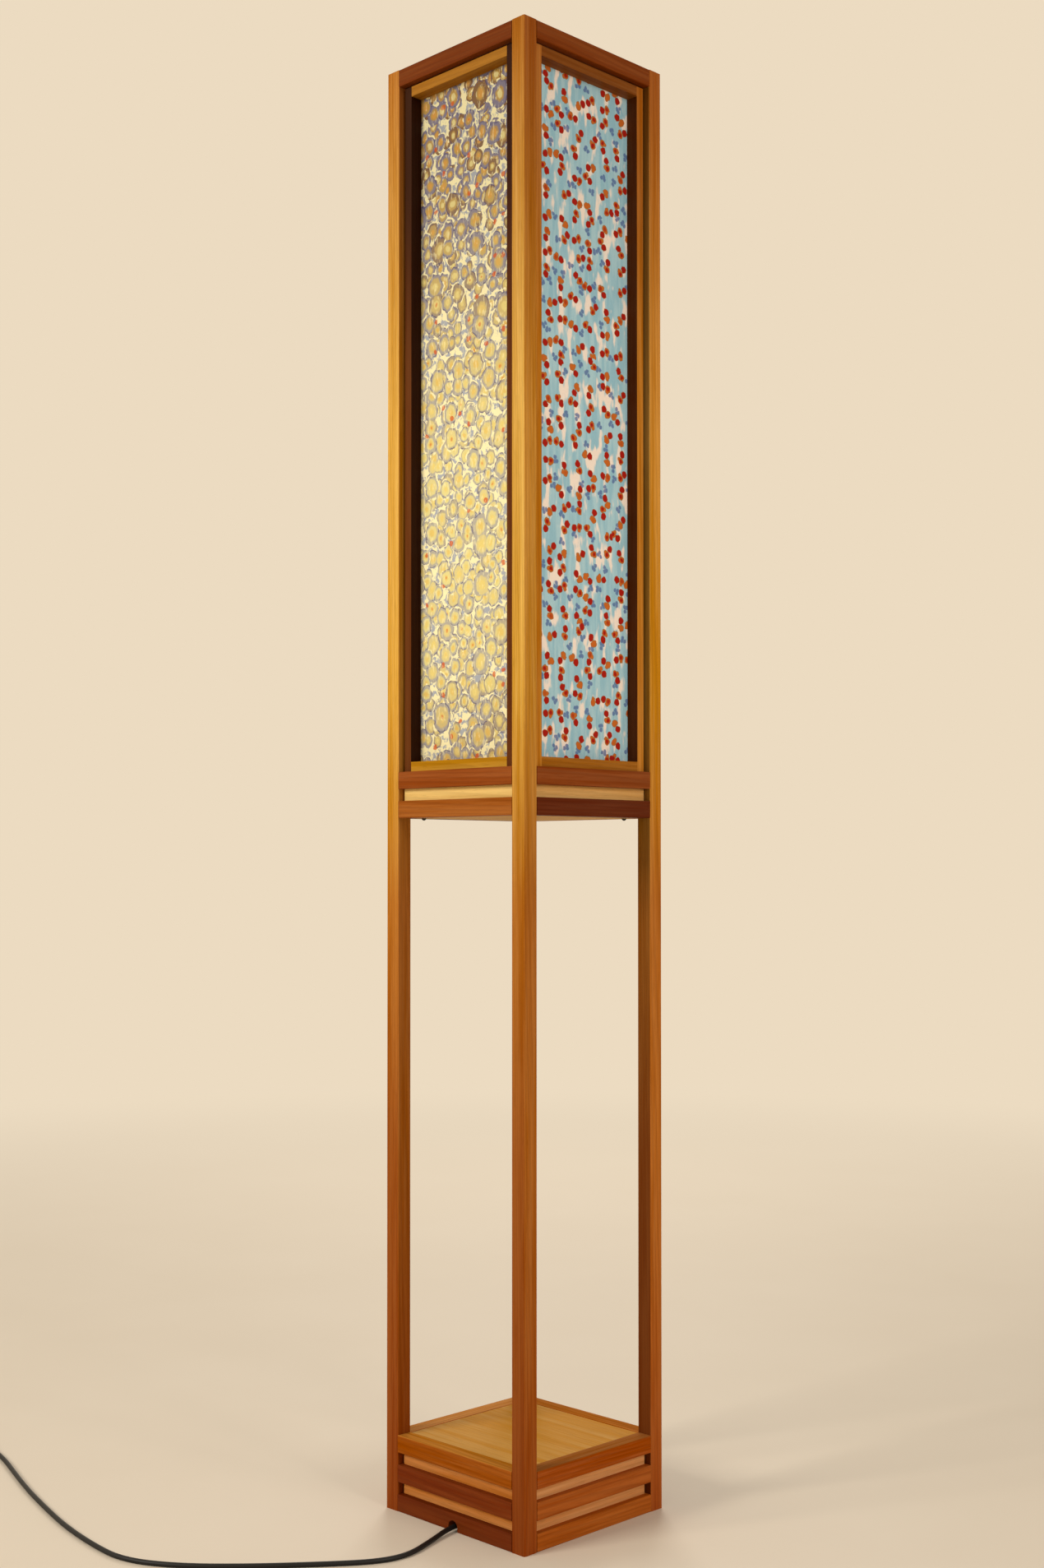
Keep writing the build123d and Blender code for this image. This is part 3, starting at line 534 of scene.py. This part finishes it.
for post, post_tones in POST_TONES.items():
    recipe = Recipe(post + "_wood", 0.50)
    height = recipe.axes()[2]
    x_face = recipe.step(recipe.maths("ABSOLUTE", face_normal(recipe)[0]), 0.55, 0.85)
    colour = recipe.mix(x_face, height_ramp(recipe, height, Y_FACES_PAINTED_LIGHT), height_ramp(recipe, height, X_FACES_PAINTED_LIGHT))
    # Painted shade on the faces that look inwards.
    shaded_inner = recipe.toned(colour, recipe.between(x_face, *INNER_PAINTED_SHADE))
    colour = recipe.mix(recipe.step(outwardness(recipe), 0.0, -0.05), colour, shaded_inner)
    colour = recipe.toned(colour, recipe.between(x_face, *post_tones))
    wood_look(recipe, grain_vector(recipe, "Z"), colour, POST_CONTRAST)
    recipe.finish(post)
print(len(POST_TONES), "posts finished")

# %% [markdown]
# ## Rails
# The rails of each ring have their own tone, and the ones that run along X come from another board than the
# ones that run along Y. The top rails of the foot frame the shelf. Their upper faces are paler, each side in
# its own tone, which is painted light from above, and they have no shine.

# %% Rails
RAIL_CONTRAST = 0.20
RAIL_COLOURS = {  # along X, along Y
    "top_rail": ((116, 54, 8), (133, 65, 17)),
    "shade_rail": ((150, 77, 24), (146, 74, 28)),
    "lantern_floor_rail": ((160, 89, 26), (104, 46, 18)),
    "base_top_rail": ((165, 88, 24), (176, 91, 38)),
    "base_middle_rail": ((122, 51, 6), (172, 86, 20)),
    "base_bottom_rail": ((108, 43, 4), (180, 93, 20)),
}
SIDE_GRAIN = {"left": "X", "right": "Y", "rear_right": "X", "rear_left": "Y"}
PAINTED_LIGHT_RING = "base_top_rail"
# Paler colours of the upper faces: painted light from above.
PAINTED_LIGHT_TOPS = {
    "left": tint(189, 121, 44),
    "right": tint(162, 100, 48),
    "rear_right": tint(194, 122, 58),
    "rear_left": tint(200, 134, 70),
}

for ring, colours in RAIL_COLOURS.items():
    for side, grain in SIDE_GRAIN.items():
        recipe = Recipe(f"{ring}_{side}_wood", 0.52)
        colour = tint(*colours["XY".index(grain)])
        if ring == PAINTED_LIGHT_RING:
            # Painted light: the faces that look upwards are paler.
            upwards = recipe.step(face_normal(recipe)[2], 0.5, 0.9)
            colour = recipe.mix(upwards, colour, PAINTED_LIGHT_TOPS[side])
        wood_look(recipe, grain_vector(recipe, grain), colour, RAIL_CONTRAST, any_tone())
        if ring == PAINTED_LIGHT_RING:
            recipe.set("Specular IOR Level", 0.0)
        recipe.finish(f"{ring}_{side}")
print(len(RAIL_COLOURS) * len(SIDE_GRAIN), "rails finished")

# %% [markdown]
# ## Pale strips and boards
# The strips in the slots, the shelf and the lantern floor are the same wood with little or no stain, and the
# strips in the foot are browner than those under the shade. The strips of one node run along two directions,
# so their recipe looks at the place: nearer to a Y face than to an X face, the grain runs along X.

# %% Pale timber
STRIP_CONTRAST = 0.12
LANTERN_STRIP = (tint(238, 199, 118), tint(232, 180, 108))  # along X, along Y
BASE_STRIP = (tint(200, 128, 63), tint(220, 154, 94))
SHELF_WOOD = tint(194, 138, 50)
PALE_WOOD = tint(214, 170, 100)


def by_place(recipe, choice, first, second):
    """The first vector where the choice is 0, the second where it is 1."""
    made = recipe.node("Mix", {"data_type": "VECTOR"})
    for position, value in ((0, choice), (4, first), (5, second)):
        recipe.feed(made.inputs[position], value)
    return made.outputs[1]


def ring_wood(name, colours):
    """Wood whose grain and tone follow the four sides of a square ring."""
    recipe = Recipe(name, 0.55)
    x, y, _ = recipe.axes()
    near_y_face = recipe.maths("GREATER_THAN", recipe.maths("ABSOLUTE", y), recipe.maths("ABSOLUTE", x))
    along_x = grain_vector(recipe, "X")
    along_y = grain_vector(recipe, "Y")
    colour = recipe.mix(near_y_face, colours[1], colours[0])
    wood_look(recipe, by_place(recipe, near_y_face, along_y, along_x), colour, STRIP_CONTRAST)
    return recipe


def board_wood(name, grain, colour, contrast, roughness):
    """Wood with straight grain along one axis, in a tone of its own."""
    recipe = Recipe(name, roughness)
    wood_look(recipe, grain_vector(recipe, grain), colour, contrast, any_tone())
    return recipe


ring_wood("lantern_strip_wood", LANTERN_STRIP).finish("lantern_slot_strips")
ring_wood("base_strip_wood", BASE_STRIP).finish("base_slot_strips")
board_wood("shelf_wood", "X", SHELF_WOOD, 0.06, 0.65).finish("shelf_board")
board_wood("lantern_floor_wood", "X", PALE_WOOD, 0.12, 0.55).finish("lantern_floor_board")
board_wood("cleat_wood", "X", PALE_WOOD, 0.15, 0.6).finish("shelf_cleats", "lantern_floor_cleats")
board_wood("pin_wood", "Z", PALE_WOOD, 0.15, 0.6).finish("frame_pins")
print("strips, boards, cleats and pins finished")

# %% [markdown]
# ## Paper frames
# A paper frame is joined from two upright stiles and two level rails, so its grain turns at each joint. The
# recipe works out which stick a point lies on from the frame's box. The stiles get darker towards the head,
# and those of the frames along X are darker all over: both are painted shade. The sticks' inner sides,
# against the paper, are darkened with painted shade, so that the frame's lit face stands out from its rebate.

# %% Paper frames
FRAME_WIDTH = 0.0122
FRAME_CONTRAST = 0.18
HAIR = 0.0001  # a margin at limits that a face lies on
# Painted shade: the stiles darken to their head colours between these heights, and those along X are darker.
STILE_SHADE_HEIGHTS = (1.35, 1.68)  # between these heights
STILE_COLOURS = (tint(100, 52, 14), tint(204, 131, 42))  # in frames along X, along Y
STILE_HEAD_SHADES = (tint(52, 26, 10), tint(176, 104, 34))
HEAD_COLOURS = (tint(160, 104, 24), tint(135, 76, 24))
FOOT_COLOURS = (tint(194, 139, 36), tint(179, 113, 36))
# Painted shade on the inner sides of the sticks, against the paper.
REBATE_SHADES = (tint(44, 20, 7), tint(92, 46, 14))


def frame_wood(side, grain):
    """Wood of a paper frame: upright grain in the stiles, level grain in the head and the foot."""
    recipe = Recipe(f"paper_frame_{side}_wood", 0.50)
    low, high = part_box(f"paper_frame_{side}")
    across = "XY".index(grain)
    inner_edge = (high[across] - low[across]) / 2 - FRAME_WIDTH
    middle = (low[2] + high[2]) / 2
    opening = (high[2] - low[2]) / 2 - FRAME_WIDTH
    places = recipe.axes()
    height = places[2]
    sideways = recipe.maths("ABSOLUTE", places[across])
    in_stile = recipe.maths("GREATER_THAN", sideways, inner_edge - HAIR)
    upright = grain_vector(recipe, "Z")
    level = grain_vector(recipe, grain)
    in_head = recipe.maths("GREATER_THAN", height, middle)
    stile = recipe.mix(recipe.step(height, *STILE_SHADE_HEIGHTS), STILE_COLOURS[across], STILE_HEAD_SHADES[across])
    rail = recipe.mix(in_head, FOOT_COLOURS[across], HEAD_COLOURS[across])
    colour = recipe.mix(in_stile, rail, stile)
    from_middle = recipe.maths("ABSOLUTE", recipe.maths("SUBTRACT", height, middle))
    inner_side = recipe.step(sideways, inner_edge + 4 * HAIR, inner_edge)
    in_opening = recipe.maths("LESS_THAN", from_middle, opening - 3 * HAIR)
    colour = recipe.mix(recipe.times(inner_side, in_opening), colour, REBATE_SHADES[across])
    wood_look(recipe, by_place(recipe, in_stile, level, upright), colour, FRAME_CONTRAST)
    return recipe


for side, grain in SIDE_GRAIN.items():
    frame_wood(side, grain).finish(f"paper_frame_{side}")
print(len(SIDE_GRAIN), "paper frames finished")

# %% [markdown]
# ## The two papers
# The shade has two papers, each on opposite sides. The warm one is marbled: drops of colour fall on a bath,
# spread into rings, and lie over each other. A Voronoi texture knows how far each point is from the nearest
# of many scattered centres. Up to a radius of its own, each centre gets a disc with a core, a broad ring and
# a broken outline, each drawn between two shares of that radius, and three such layers cover each other. The
# cool one is printed. The bulb shines through the middle of the shade, so both papers are brighter there, and
# the marbled one's colours turn to straw and gold. They glow a little, because paper passes on light. Their
# backs are plain.

# %% Paper helpers
BARE_PAPER = tint(232, 220, 192)
BACK_GLOW = 0.30  # of the unprinted side, which faces the bulb
LIGHT_GROWS = (0.76, 1.10)  # heights between which the bulb's light grows
LIGHT_FADES = (1.74, 1.28)  # where it is gone again, and where it starts to go


def lit_height(recipe):
    """1 over the middle of the shade, where the bulb shines through it, and less at its head and foot."""
    height = recipe.axes()[2]
    return recipe.times(recipe.step(height, *LIGHT_GROWS), recipe.step(height, *LIGHT_FADES))


def paper_plane(recipe, across, shift):
    """The paper's own two directions, across and up, as a flat vector that starts at its own place."""
    axes = recipe.axes()
    flat = recipe.node("CombineXYZ", X=axes[across], Y=axes[2], Z=0.0).outputs[0]
    return recipe.stretch(flat, (1, 1, 1), shift)


def wobbly(recipe, flat, scale, detail, reach):
    """Push each point by a noise, up to a reach across and up, so that what is drawn there is uneven."""
    wobble = recipe.node("TexNoise", Vector=flat, Scale=scale, Detail=detail).outputs["Color"]
    return recipe.vector_maths("MULTIPLY_ADD", wobble, (reach, reach, 0.0), flat)


def voronoi(recipe, vector, scale, scatter):
    """The nearest of many scattered centres: its random numbers, and where a point lies as seen from it."""
    flat = {"voronoi_dimensions": "2D"}
    cell = recipe.node("TexVoronoi", flat, Vector=vector, Scale=scale, Randomness=scatter)
    picks = recipe.node("SeparateColor", Color=cell.outputs["Color"]).outputs
    return picks, recipe.vector_maths("SUBTRACT", vector, cell.outputs["Position"])


def paper_skin(recipe, flat, sheet, glow):
    """Give the sheet its plain back, its tooth and its long soft fibres, and let it glow."""
    printed_side = recipe.maths("GREATER_THAN", outwardness(recipe), 0.0)
    sheet = recipe.mix(printed_side, BARE_PAPER, sheet)
    glow = recipe.maths("MAXIMUM", glow, recipe.between(printed_side, BACK_GLOW, 0.0))
    tooth = recipe.noise(recipe.stretch(flat, (1, 0.35, 1)), 900.0, 3.0, 0.6)
    colour = recipe.toned(sheet, recipe.between(tooth, 0.9, 1.1))
    recipe.set("Base Color", colour)
    recipe.set("Specular IOR Level", 0.15)
    recipe.set("Emission Color", colour)
    recipe.set("Emission Strength", glow)
    recipe.bump(tooth, 0.2, 0.0002)


# %% A layer of ringed discs
CREAM = tint(245, 232, 178)
GOLD = tint(232, 220, 145)
STRAW = tint(222, 205, 138)
OCHRE = tint(186, 148, 74)
TAN = tint(172, 137, 88)
AMBER = tint(208, 152, 72)
HONEY = tint(228, 203, 112)
EMBER = tint(206, 92, 34)
SLATE = tint(124, 120, 142)
LILAC = tint(166, 168, 172)
UMBER = tint(128, 94, 66)
INK = tint(78, 72, 112)
TALLER = 0.86  # the discs are a little taller than wide
DISC_SCATTER = 0.85
PETALS = 7
PETAL_DEPTH = 0.03
DOT_EDGE = (0.20, 0.10)  # shares of a disc's radius: where a zone is gone, and where it is full
CORE_EDGE = (0.42, 0.24)
RIM_EDGE = (0.82, 0.92)
DISC_EDGE = (1.00, 0.95)
HALO_EDGE = (1.20, 1.12)
RING_EDGE = (-0.08, 0.10)  # the same, from where the disc's own ring starts
RING_STARTS = (0.45, 0.53)  # at the least, in the dark and in the light
RING_SPREAD = 0.24
RING_STRENGTH = (0.90, 0.65)  # in the dark and in the light
LIT_BODY = 0.85  # how far the light turns each zone to its lit colour
LIT_CORE = 0.8
LIT_RING = 0.6


def reshuffled(recipe, pick, times):
    """One more random number for a centre: the fraction of its first one times a number."""
    return recipe.maths("FRACT", recipe.times(pick, times))


def ringed_discs(recipe, bath, sheet, lit, layer, shift):
    """Lay one layer of discs over the sheet. From its middle outwards a disc may have a dot, and has a core,
    a body, a broad ring and a broken outline. Its edge is wavy, with a broken pale halo around it."""
    density, least, most, share = layer
    place = recipe.stretch(bath, (1, TALLER, 1), shift)
    picks, away = voronoi(recipe, place, density, DISC_SCATTER)
    along, beside, _ = recipe.axes(away)
    wave = recipe.maths("COSINE", recipe.times(recipe.maths("ARCTAN2", beside, along), PETALS))
    wave = recipe.maths("MULTIPLY_ADD", wave, PETAL_DEPTH, 1.0)
    radius = recipe.times(recipe.between(picks[0], least, most), wave)
    reach = recipe.maths("DIVIDE", recipe.vector_maths("LENGTH", away), radius)
    body = recipe.mix(reshuffled(recipe, picks[1], 7.0), OCHRE, TAN)
    body = recipe.mix(recipe.times(lit, LIT_BODY), body, recipe.mix(picks[0], GOLD, STRAW))
    core = recipe.mix(recipe.step(reshuffled(recipe, picks[2], 11.0), 0.4, 0.6), AMBER, STRAW)
    core = recipe.mix(recipe.times(lit, LIT_CORE), core, HONEY)
    disc = recipe.mix(recipe.step(reach, *CORE_EDGE), body, core)
    dot = recipe.times(recipe.step(reach, *DOT_EDGE), recipe.step(picks[1], 0.84, 0.90))
    disc = recipe.mix(recipe.times(dot, 0.6), disc, EMBER)
    ring_colour = recipe.mix(recipe.step(reshuffled(recipe, picks[1], 13.0), 0.70, 0.74), SLATE, UMBER)
    ring_colour = recipe.mix(recipe.times(lit, LIT_RING), ring_colour, LILAC)
    ring_start = recipe.maths("MULTIPLY_ADD", picks[2], RING_SPREAD, recipe.between(lit, *RING_STARTS))
    ring = recipe.step(recipe.maths("SUBTRACT", reach, ring_start), *RING_EDGE)
    disc = recipe.mix(recipe.times(ring, recipe.between(lit, *RING_STRENGTH)), disc, ring_colour)
    broken = recipe.noise(place, 150.0, 1.0)
    rim = recipe.times(recipe.step(reach, *RIM_EDGE), recipe.step(broken, 0.47, 0.55))
    disc = recipe.mix(recipe.times(rim, 0.75), disc, INK)
    there = recipe.maths("LESS_THAN", reshuffled(recipe, picks[2], 5.0), share)
    halo = recipe.times(recipe.step(reach, *HALO_EDGE), recipe.step(broken, 0.50, 0.42))
    sheet = recipe.mix(recipe.times(there, halo), sheet, CREAM)
    return recipe.mix(recipe.times(there, recipe.step(reach, *DISC_EDGE)), sheet, disc)


# %% Marbled paper
DISC_LAYERS = (  # centres in a metre, smallest and largest radius, share of the centres that have a disc
    (55.0, 0.0068, 0.0106, 1.0),
    (41.0, 0.0076, 0.0126, 0.92),
    (27.0, 0.0100, 0.0162, 0.64),
)
LAYER_SHIFT = (0.37, 0.59)  # from one layer to the next, so that their centres don't meet
SPECKS = 66.0  # in a metre, most of them left out
SPECK_EDGE = (0.0036, 0.0026)


def marbled_paper(name, across, shift):
    """A marbled sheet along X (0) or Y (1). The shift picks its own stretch of the pattern."""
    recipe = Recipe(name, 0.85)
    flat = paper_plane(recipe, across, shift)
    bath = wobbly(recipe, flat, 80.0, 2.0, 0.007)
    lit = lit_height(recipe)
    sheet = recipe.mix(recipe.step(recipe.noise(bath, 110.0), 0.48, 0.56), CREAM, LILAC)
    for number, layer in enumerate(DISC_LAYERS):
        moved = (LAYER_SHIFT[0] * number, LAYER_SHIFT[1] * number, 0)
        sheet = ringed_discs(recipe, bath, sheet, lit, layer, moved)
    picks, away = voronoi(recipe, recipe.stretch(bath, (1, 1, 1), (2.1, 0.7, 0)), SPECKS, 1.0)
    rare = recipe.maths("GREATER_THAN", picks[0], 0.92)
    speck = recipe.times(recipe.step(recipe.vector_maths("LENGTH", away), *SPECK_EDGE), rare)
    sheet = recipe.mix(recipe.times(speck, 0.85), sheet, EMBER)
    crumbs = recipe.step(recipe.noise(recipe.stretch(flat, (1, 0.3, 1)), 300.0, 2.0), 0.56, 0.64)
    sheet = recipe.mix(recipe.times(crumbs, 0.45), sheet, CREAM)
    sheet = recipe.toned(sheet, recipe.between(lit, 0.78, 1.0))
    paper_skin(recipe, flat, sheet, recipe.between(lit, 0.02, 0.10))
    return recipe


marbled_paper("marbled_paper_left", 0, (0, 0, 0)).finish("paper_left")
marbled_paper("marbled_paper_rear", 0, (4, 2, 0)).finish("paper_rear_right")
print("marbled papers finished")

# %% [markdown]
# ## The printed paper
# The cool paper is a print of small red drops in pairs, with blue dabs between them, on pale blue with pink
# mist. Each pair sits at a Voronoi centre, on axes turned by that centre's random number. A drop is round,
# because its colours are steps of the distance from one point on those axes.

# %% Printed paper
PALE_BLUE = tint(168, 199, 202)
MID_BLUE = tint(146, 185, 194)
MIST = tint(240, 220, 200)
DROP_RED = tint(164, 24, 8)
DROP_ORANGE = tint(194, 98, 32)
DROP_OLIVE = tint(150, 112, 60)
DAB_BLUE = tint(82, 104, 150)
PAIRS = 39.5  # in a metre
DABS = 45.0
PAIR_SCATTER = 0.62
DAB_SCATTER = 0.8
DROP_RADIUS = 0.0050
DROP_OFFSET = 0.0046
DAB_RADIUS = 0.0033
DAB_OFFSET = 0.0025
CLEARANCE = 0.0100  # a dab keeps this far from the middle of a pair of drops
OLIVE_EDGE = (1.0, 0.88)  # shares of a drop's radius: where a colour starts, and where it is full
ORANGE_EDGE = (0.88, 0.70)
RED_EDGE = (0.93, 0.76)
HEART_EDGE = (0.75, 0.35)
DAB_EDGE = (1.0, 0.60)


def turned_axes(recipe, picks, away):
    """Where a point lies as seen from its centre, on axes that the centre's random number has turned."""
    angle = recipe.times(picks[0], 2 * math.pi)
    spin = recipe.node("VectorRotate", {"rotation_type": "Z_AXIS"}, Vector=away, Angle=angle)
    return recipe.axes(spin.outputs[0])


def distance_from(recipe, along, beside, centre, sideways=0.0):
    """Distance from a point on the two axes: the root of the sum of the two differences squared."""
    first = recipe.maths("POWER", recipe.maths("SUBTRACT", along, centre), 2.0)
    second = recipe.maths("POWER", recipe.maths("SUBTRACT", beside, sideways), 2.0)
    return recipe.maths("SQRT", recipe.maths("ADD", first, second))


def spot(recipe, distance, radius, edge):
    """1 in the middle of a round spot and 0 outside it."""
    return recipe.step(distance, radius * edge[0], radius * edge[1])


def blue_dabs(recipe, inked):
    """1 on the dabs: three around a centre, where no pair of drops is near it. The centre is the point less
    the point's way from it, so all three are kept or dropped together."""
    picks, away = voronoi(recipe, recipe.stretch(inked, (1, 1, 1), (0.7, 0.4, 0)), DABS, DAB_SCATTER)
    along, beside, _ = turned_axes(recipe, picks, away)
    nearest = distance_from(recipe, along, beside, DAB_OFFSET)
    for aside in (-0.6 * DAB_OFFSET, 0.8 * DAB_OFFSET):
        nearest = recipe.maths("MINIMUM", nearest, distance_from(recipe, along, beside, -DAB_OFFSET, aside))
    _, gap = voronoi(recipe, recipe.vector_maths("SUBTRACT", inked, away), PAIRS, PAIR_SCATTER)
    clear = recipe.maths("GREATER_THAN", recipe.vector_maths("LENGTH", gap), CLEARANCE)
    return recipe.times(spot(recipe, nearest, DAB_RADIUS, DAB_EDGE), clear)


def printed_paper(name, across, shift):
    """The same for a printed sheet."""
    recipe = Recipe(name, 0.85)
    flat = paper_plane(recipe, across, shift)
    inked = wobbly(recipe, flat, 220.0, 1.0, 0.0030)
    brushed = recipe.noise(recipe.stretch(flat, (1, 0.10, 1)), 130.0, 2.0)
    ground = recipe.mix(recipe.step(brushed, 0.38, 0.62), MID_BLUE, PALE_BLUE)
    mist = recipe.noise(recipe.stretch(flat, (1, 0.34, 1)), 76.0, 2.5, 0.5)
    sheet = recipe.mix(recipe.step(mist, 0.520, 0.620), ground, MIST)
    sheet = recipe.mix(recipe.times(blue_dabs(recipe, inked), 0.85), sheet, DAB_BLUE)
    picks, away = voronoi(recipe, inked, PAIRS, PAIR_SCATTER)
    along, beside, _ = turned_axes(recipe, picks, away)
    lower = distance_from(recipe, along, beside, -DROP_OFFSET)
    tail = distance_from(recipe, along, beside, -0.7 * DROP_OFFSET, 0.8 * DROP_OFFSET)
    orange = recipe.maths("MINIMUM", lower, recipe.maths("ADD", tail, 0.3 * DROP_RADIUS))
    sheet = recipe.mix(spot(recipe, orange, DROP_RADIUS, OLIVE_EDGE), sheet, DROP_OLIVE)
    sheet = recipe.mix(spot(recipe, orange, DROP_RADIUS, ORANGE_EDGE), sheet, DROP_ORANGE)
    heart = spot(recipe, lower, DROP_RADIUS, HEART_EDGE)
    sheet = recipe.mix(recipe.times(heart, recipe.step(picks[1], 0.2, 0.5)), sheet, DROP_RED)
    upper = distance_from(recipe, along, beside, DROP_OFFSET)
    sheet = recipe.mix(spot(recipe, upper, DROP_RADIUS, OLIVE_EDGE), sheet, DROP_OLIVE)
    sheet = recipe.mix(spot(recipe, upper, DROP_RADIUS, RED_EDGE), sheet, DROP_RED)
    sheet = recipe.toned(sheet, recipe.between(lit_height(recipe), 0.87, 1.01))
    paper_skin(recipe, flat, sheet, 0.15)
    return recipe


printed_paper("printed_paper_right", 1, (1, 1, 0)).finish("paper_right")
printed_paper("printed_paper_rear", 1, (5, 3, 0)).finish("paper_rear_left")
print("printed papers finished")

# %% [markdown]
# ## Fittings
# Mouldings, sheath and metal have no grain, but they aren't flat either. A faint noise in the roughness
# breaks up their reflections, and a finer one in the bump gives the skin that a mould leaves.

# %% Plastic and rubber
MOTTLE = 60.0  # scale of the noise
BLACK_PLASTIC = tint(30, 28, 27)


def moulded(name, colour, roughness, speckle=900.0, relief=0.12):
    """A moulded or cast skin: one colour with a faint mottle, and a fine uneven surface."""
    recipe = Recipe(name, roughness)
    mottle = recipe.noise(recipe.place, MOTTLE, 3.0)
    recipe.set("Base Color", recipe.toned(colour, recipe.between(mottle, 0.88, 1.12)))
    recipe.set("Roughness", recipe.between(mottle, roughness - 0.08, roughness + 0.08))
    recipe.bump(recipe.noise(recipe.place, speckle, 2.0), relief, 0.0002)
    return recipe


sheath = moulded("cord_sheath_rubber", tint(16, 15, 14), 0.50)
sheath.set("Specular IOR Level", 0.3)
sheath.finish("inner_cable")
sheath.cover(floor_cord, coiled_cord)
moulded("plug_plastic_skin", BLACK_PLASTIC, 0.38).cover(plug)
moulded("switch_plastic_skin", BLACK_PLASTIC, 0.36).finish("switch_base", "switch_cover")
moulded("rocker_plastic_skin", tint(44, 42, 40), 0.30).finish("switch_rocker")
moulded("clamp_plastic_skin", tint(34, 32, 30), 0.5).finish("cord_clamp")
moulded("clip_plastic_skin", tint(226, 224, 216), 0.45).finish("cable_clips")
moulded("holder_skin", tint(236, 233, 224), 0.25).finish("lampholder")
moulded("strap_weave", tint(28, 27, 26), 0.75, 2600.0, 0.6).cover(strap)

# %% Metal and glass


def metal(name, colour, roughness):
    """The same skin in metal, with finer speckles."""
    recipe = moulded(name, colour, roughness, 2400.0, 0.06)
    recipe.set("Metallic", 1.0)
    return recipe


metal("blade_brass", tint(216, 188, 122), 0.26).finish("plug_blades")
metal("cap_aluminium", tint(208, 208, 204), 0.32).finish("bulb_cap")
metal("screw_black_steel", tint(58, 54, 50), 0.42).finish("round_head_screws")

opal = moulded("opal_glass", tint(250, 244, 226), 0.18, 400.0, 0.03)
opal.set("Emission Color", tint(255, 226, 160))
opal.set("Emission Strength", 0.9)
opal.finish("bulb_glass")
print("fittings finished")

# %% [markdown]
# ## The studio
# A pale floor, an even sky and two soft lamps in front, with a third one behind. The strongest one stands to
# the left, so the faces that look left are brighter than those that look right, and the frame reads as
# square. The floor fades into the backdrop's colour far away, but only for rays that come from the camera or
# from something shiny or clear, so the fade shows in the picture and in reflections, and lights nothing.

# %% Floor
BACKDROP = tint(236, 219, 193)
FLOOR_PALE = tint(220, 204, 180)
FLOOR_PALER = tint(226, 211, 188)
FLOOR_SIZE = 24.0
FADE = (0.9, 4.5)  # distances between which the floor turns into the backdrop

reach = FLOOR_SIZE / 2
corners = [(-reach, -reach, 0), (reach, -reach, 0), (reach, reach, 0), (-reach, reach, 0)]
floor_mesh = bpy.data.meshes.new("floor")
floor_mesh.from_pydata(corners, [], [(0, 1, 2, 3)])
floor = bpy.data.objects.new("floor", floor_mesh)
bpy.context.collection.objects.link(floor)
recipe = Recipe("floor_paint", 0.7)
recipe.set("Base Color", recipe.mix(recipe.noise(recipe.place, 3.0), FLOOR_PALE, FLOOR_PALER))
recipe.bump(recipe.noise(recipe.place, 260.0), 0.05, 0.001)
paths = recipe.node("LightPath").outputs
seen = recipe.maths("MAXIMUM", paths["Is Camera Ray"], paths["Is Glossy Ray"])
seen = recipe.maths("MAXIMUM", seen, paths["Is Transmission Ray"])
far = recipe.times(recipe.step(recipe.vector_maths("LENGTH", recipe.place), *FADE), seen)
haze = recipe.node("Emission", Color=BACKDROP, Strength=1.0)
blend = recipe.node("MixShader", Fac=far)
recipe.feed(blend.inputs[1], recipe.shader.outputs[0])
recipe.feed(blend.inputs[2], haze.outputs[0])
recipe.feed(recipe.tree.nodes["Material Output"].inputs["Surface"], blend.outputs[0])
recipe.cover(floor)
print("floor", FLOOR_SIZE, "m wide")

# %% Sky
SKY_WHITE = tint(250, 246, 240)
SKY_STRENGTH = 0.42

world = bpy.data.worlds.new("studio")
world.use_nodes = True
bpy.context.scene.world = world
sky_tree = world.node_tree
sky_light = sky_tree.nodes["Background"]
sky_light.inputs["Color"].default_value = SKY_WHITE
sky_light.inputs["Strength"].default_value = SKY_STRENGTH
backdrop = sky_tree.nodes.new("ShaderNodeBackground")
backdrop.inputs["Color"].default_value = BACKDROP
paths = sky_tree.nodes.new("ShaderNodeLightPath")
choose = sky_tree.nodes.new("ShaderNodeMixShader")
seen = paths.outputs["Is Camera Ray"]
for ray in ("Is Glossy Ray", "Is Transmission Ray"):
    either = sky_tree.nodes.new("ShaderNodeMath")
    either.operation = "MAXIMUM"
    sky_tree.links.new(seen, either.inputs[0])
    sky_tree.links.new(paths.outputs[ray], either.inputs[1])
    seen = either.outputs[0]
for number, output in enumerate((seen, sky_light.outputs[0], backdrop.outputs[0])):
    sky_tree.links.new(output, choose.inputs[number])
sky_tree.links.new(choose.outputs[0], sky_tree.nodes["World Output"].inputs["Surface"])
print("sky at strength", SKY_STRENGTH)

# %% Lamps


def soft_lamp(name, place, target, size, power, colour):
    """A square lamp, tipped up from straight down and turned about the vertical to face its target."""
    data = bpy.data.lights.new(name, "AREA")
    data.size = size
    data.energy = power
    data.color = colour
    lamp = bpy.data.objects.new(name, data)
    toward = np.subtract(target, place)
    level = math.hypot(toward[0], toward[1])
    lamp.location = place
    lamp.rotation_euler = (math.atan2(level, -toward[2]), 0, math.atan2(-toward[0], toward[1]))
    bpy.context.collection.objects.link(lamp)


soft_lamp("key_lamp", (-0.8, -3.5, 2.3), (0, 0, 1.0), 1.2, 92.0, (1.0, 0.96, 0.90))
soft_lamp("fill_lamp", (3.4, -0.2, 1.9), (0, 0, 0.9), 1.2, 40.0, (1.0, 0.96, 0.92))
soft_lamp("back_lamp", (-2.4, 2.6, 2.4), (0, 0, 0.9), 1.4, 48.0, (1.0, 0.97, 0.93))
bpy.context.scene.view_settings.view_transform = "Standard"
print("studio set")
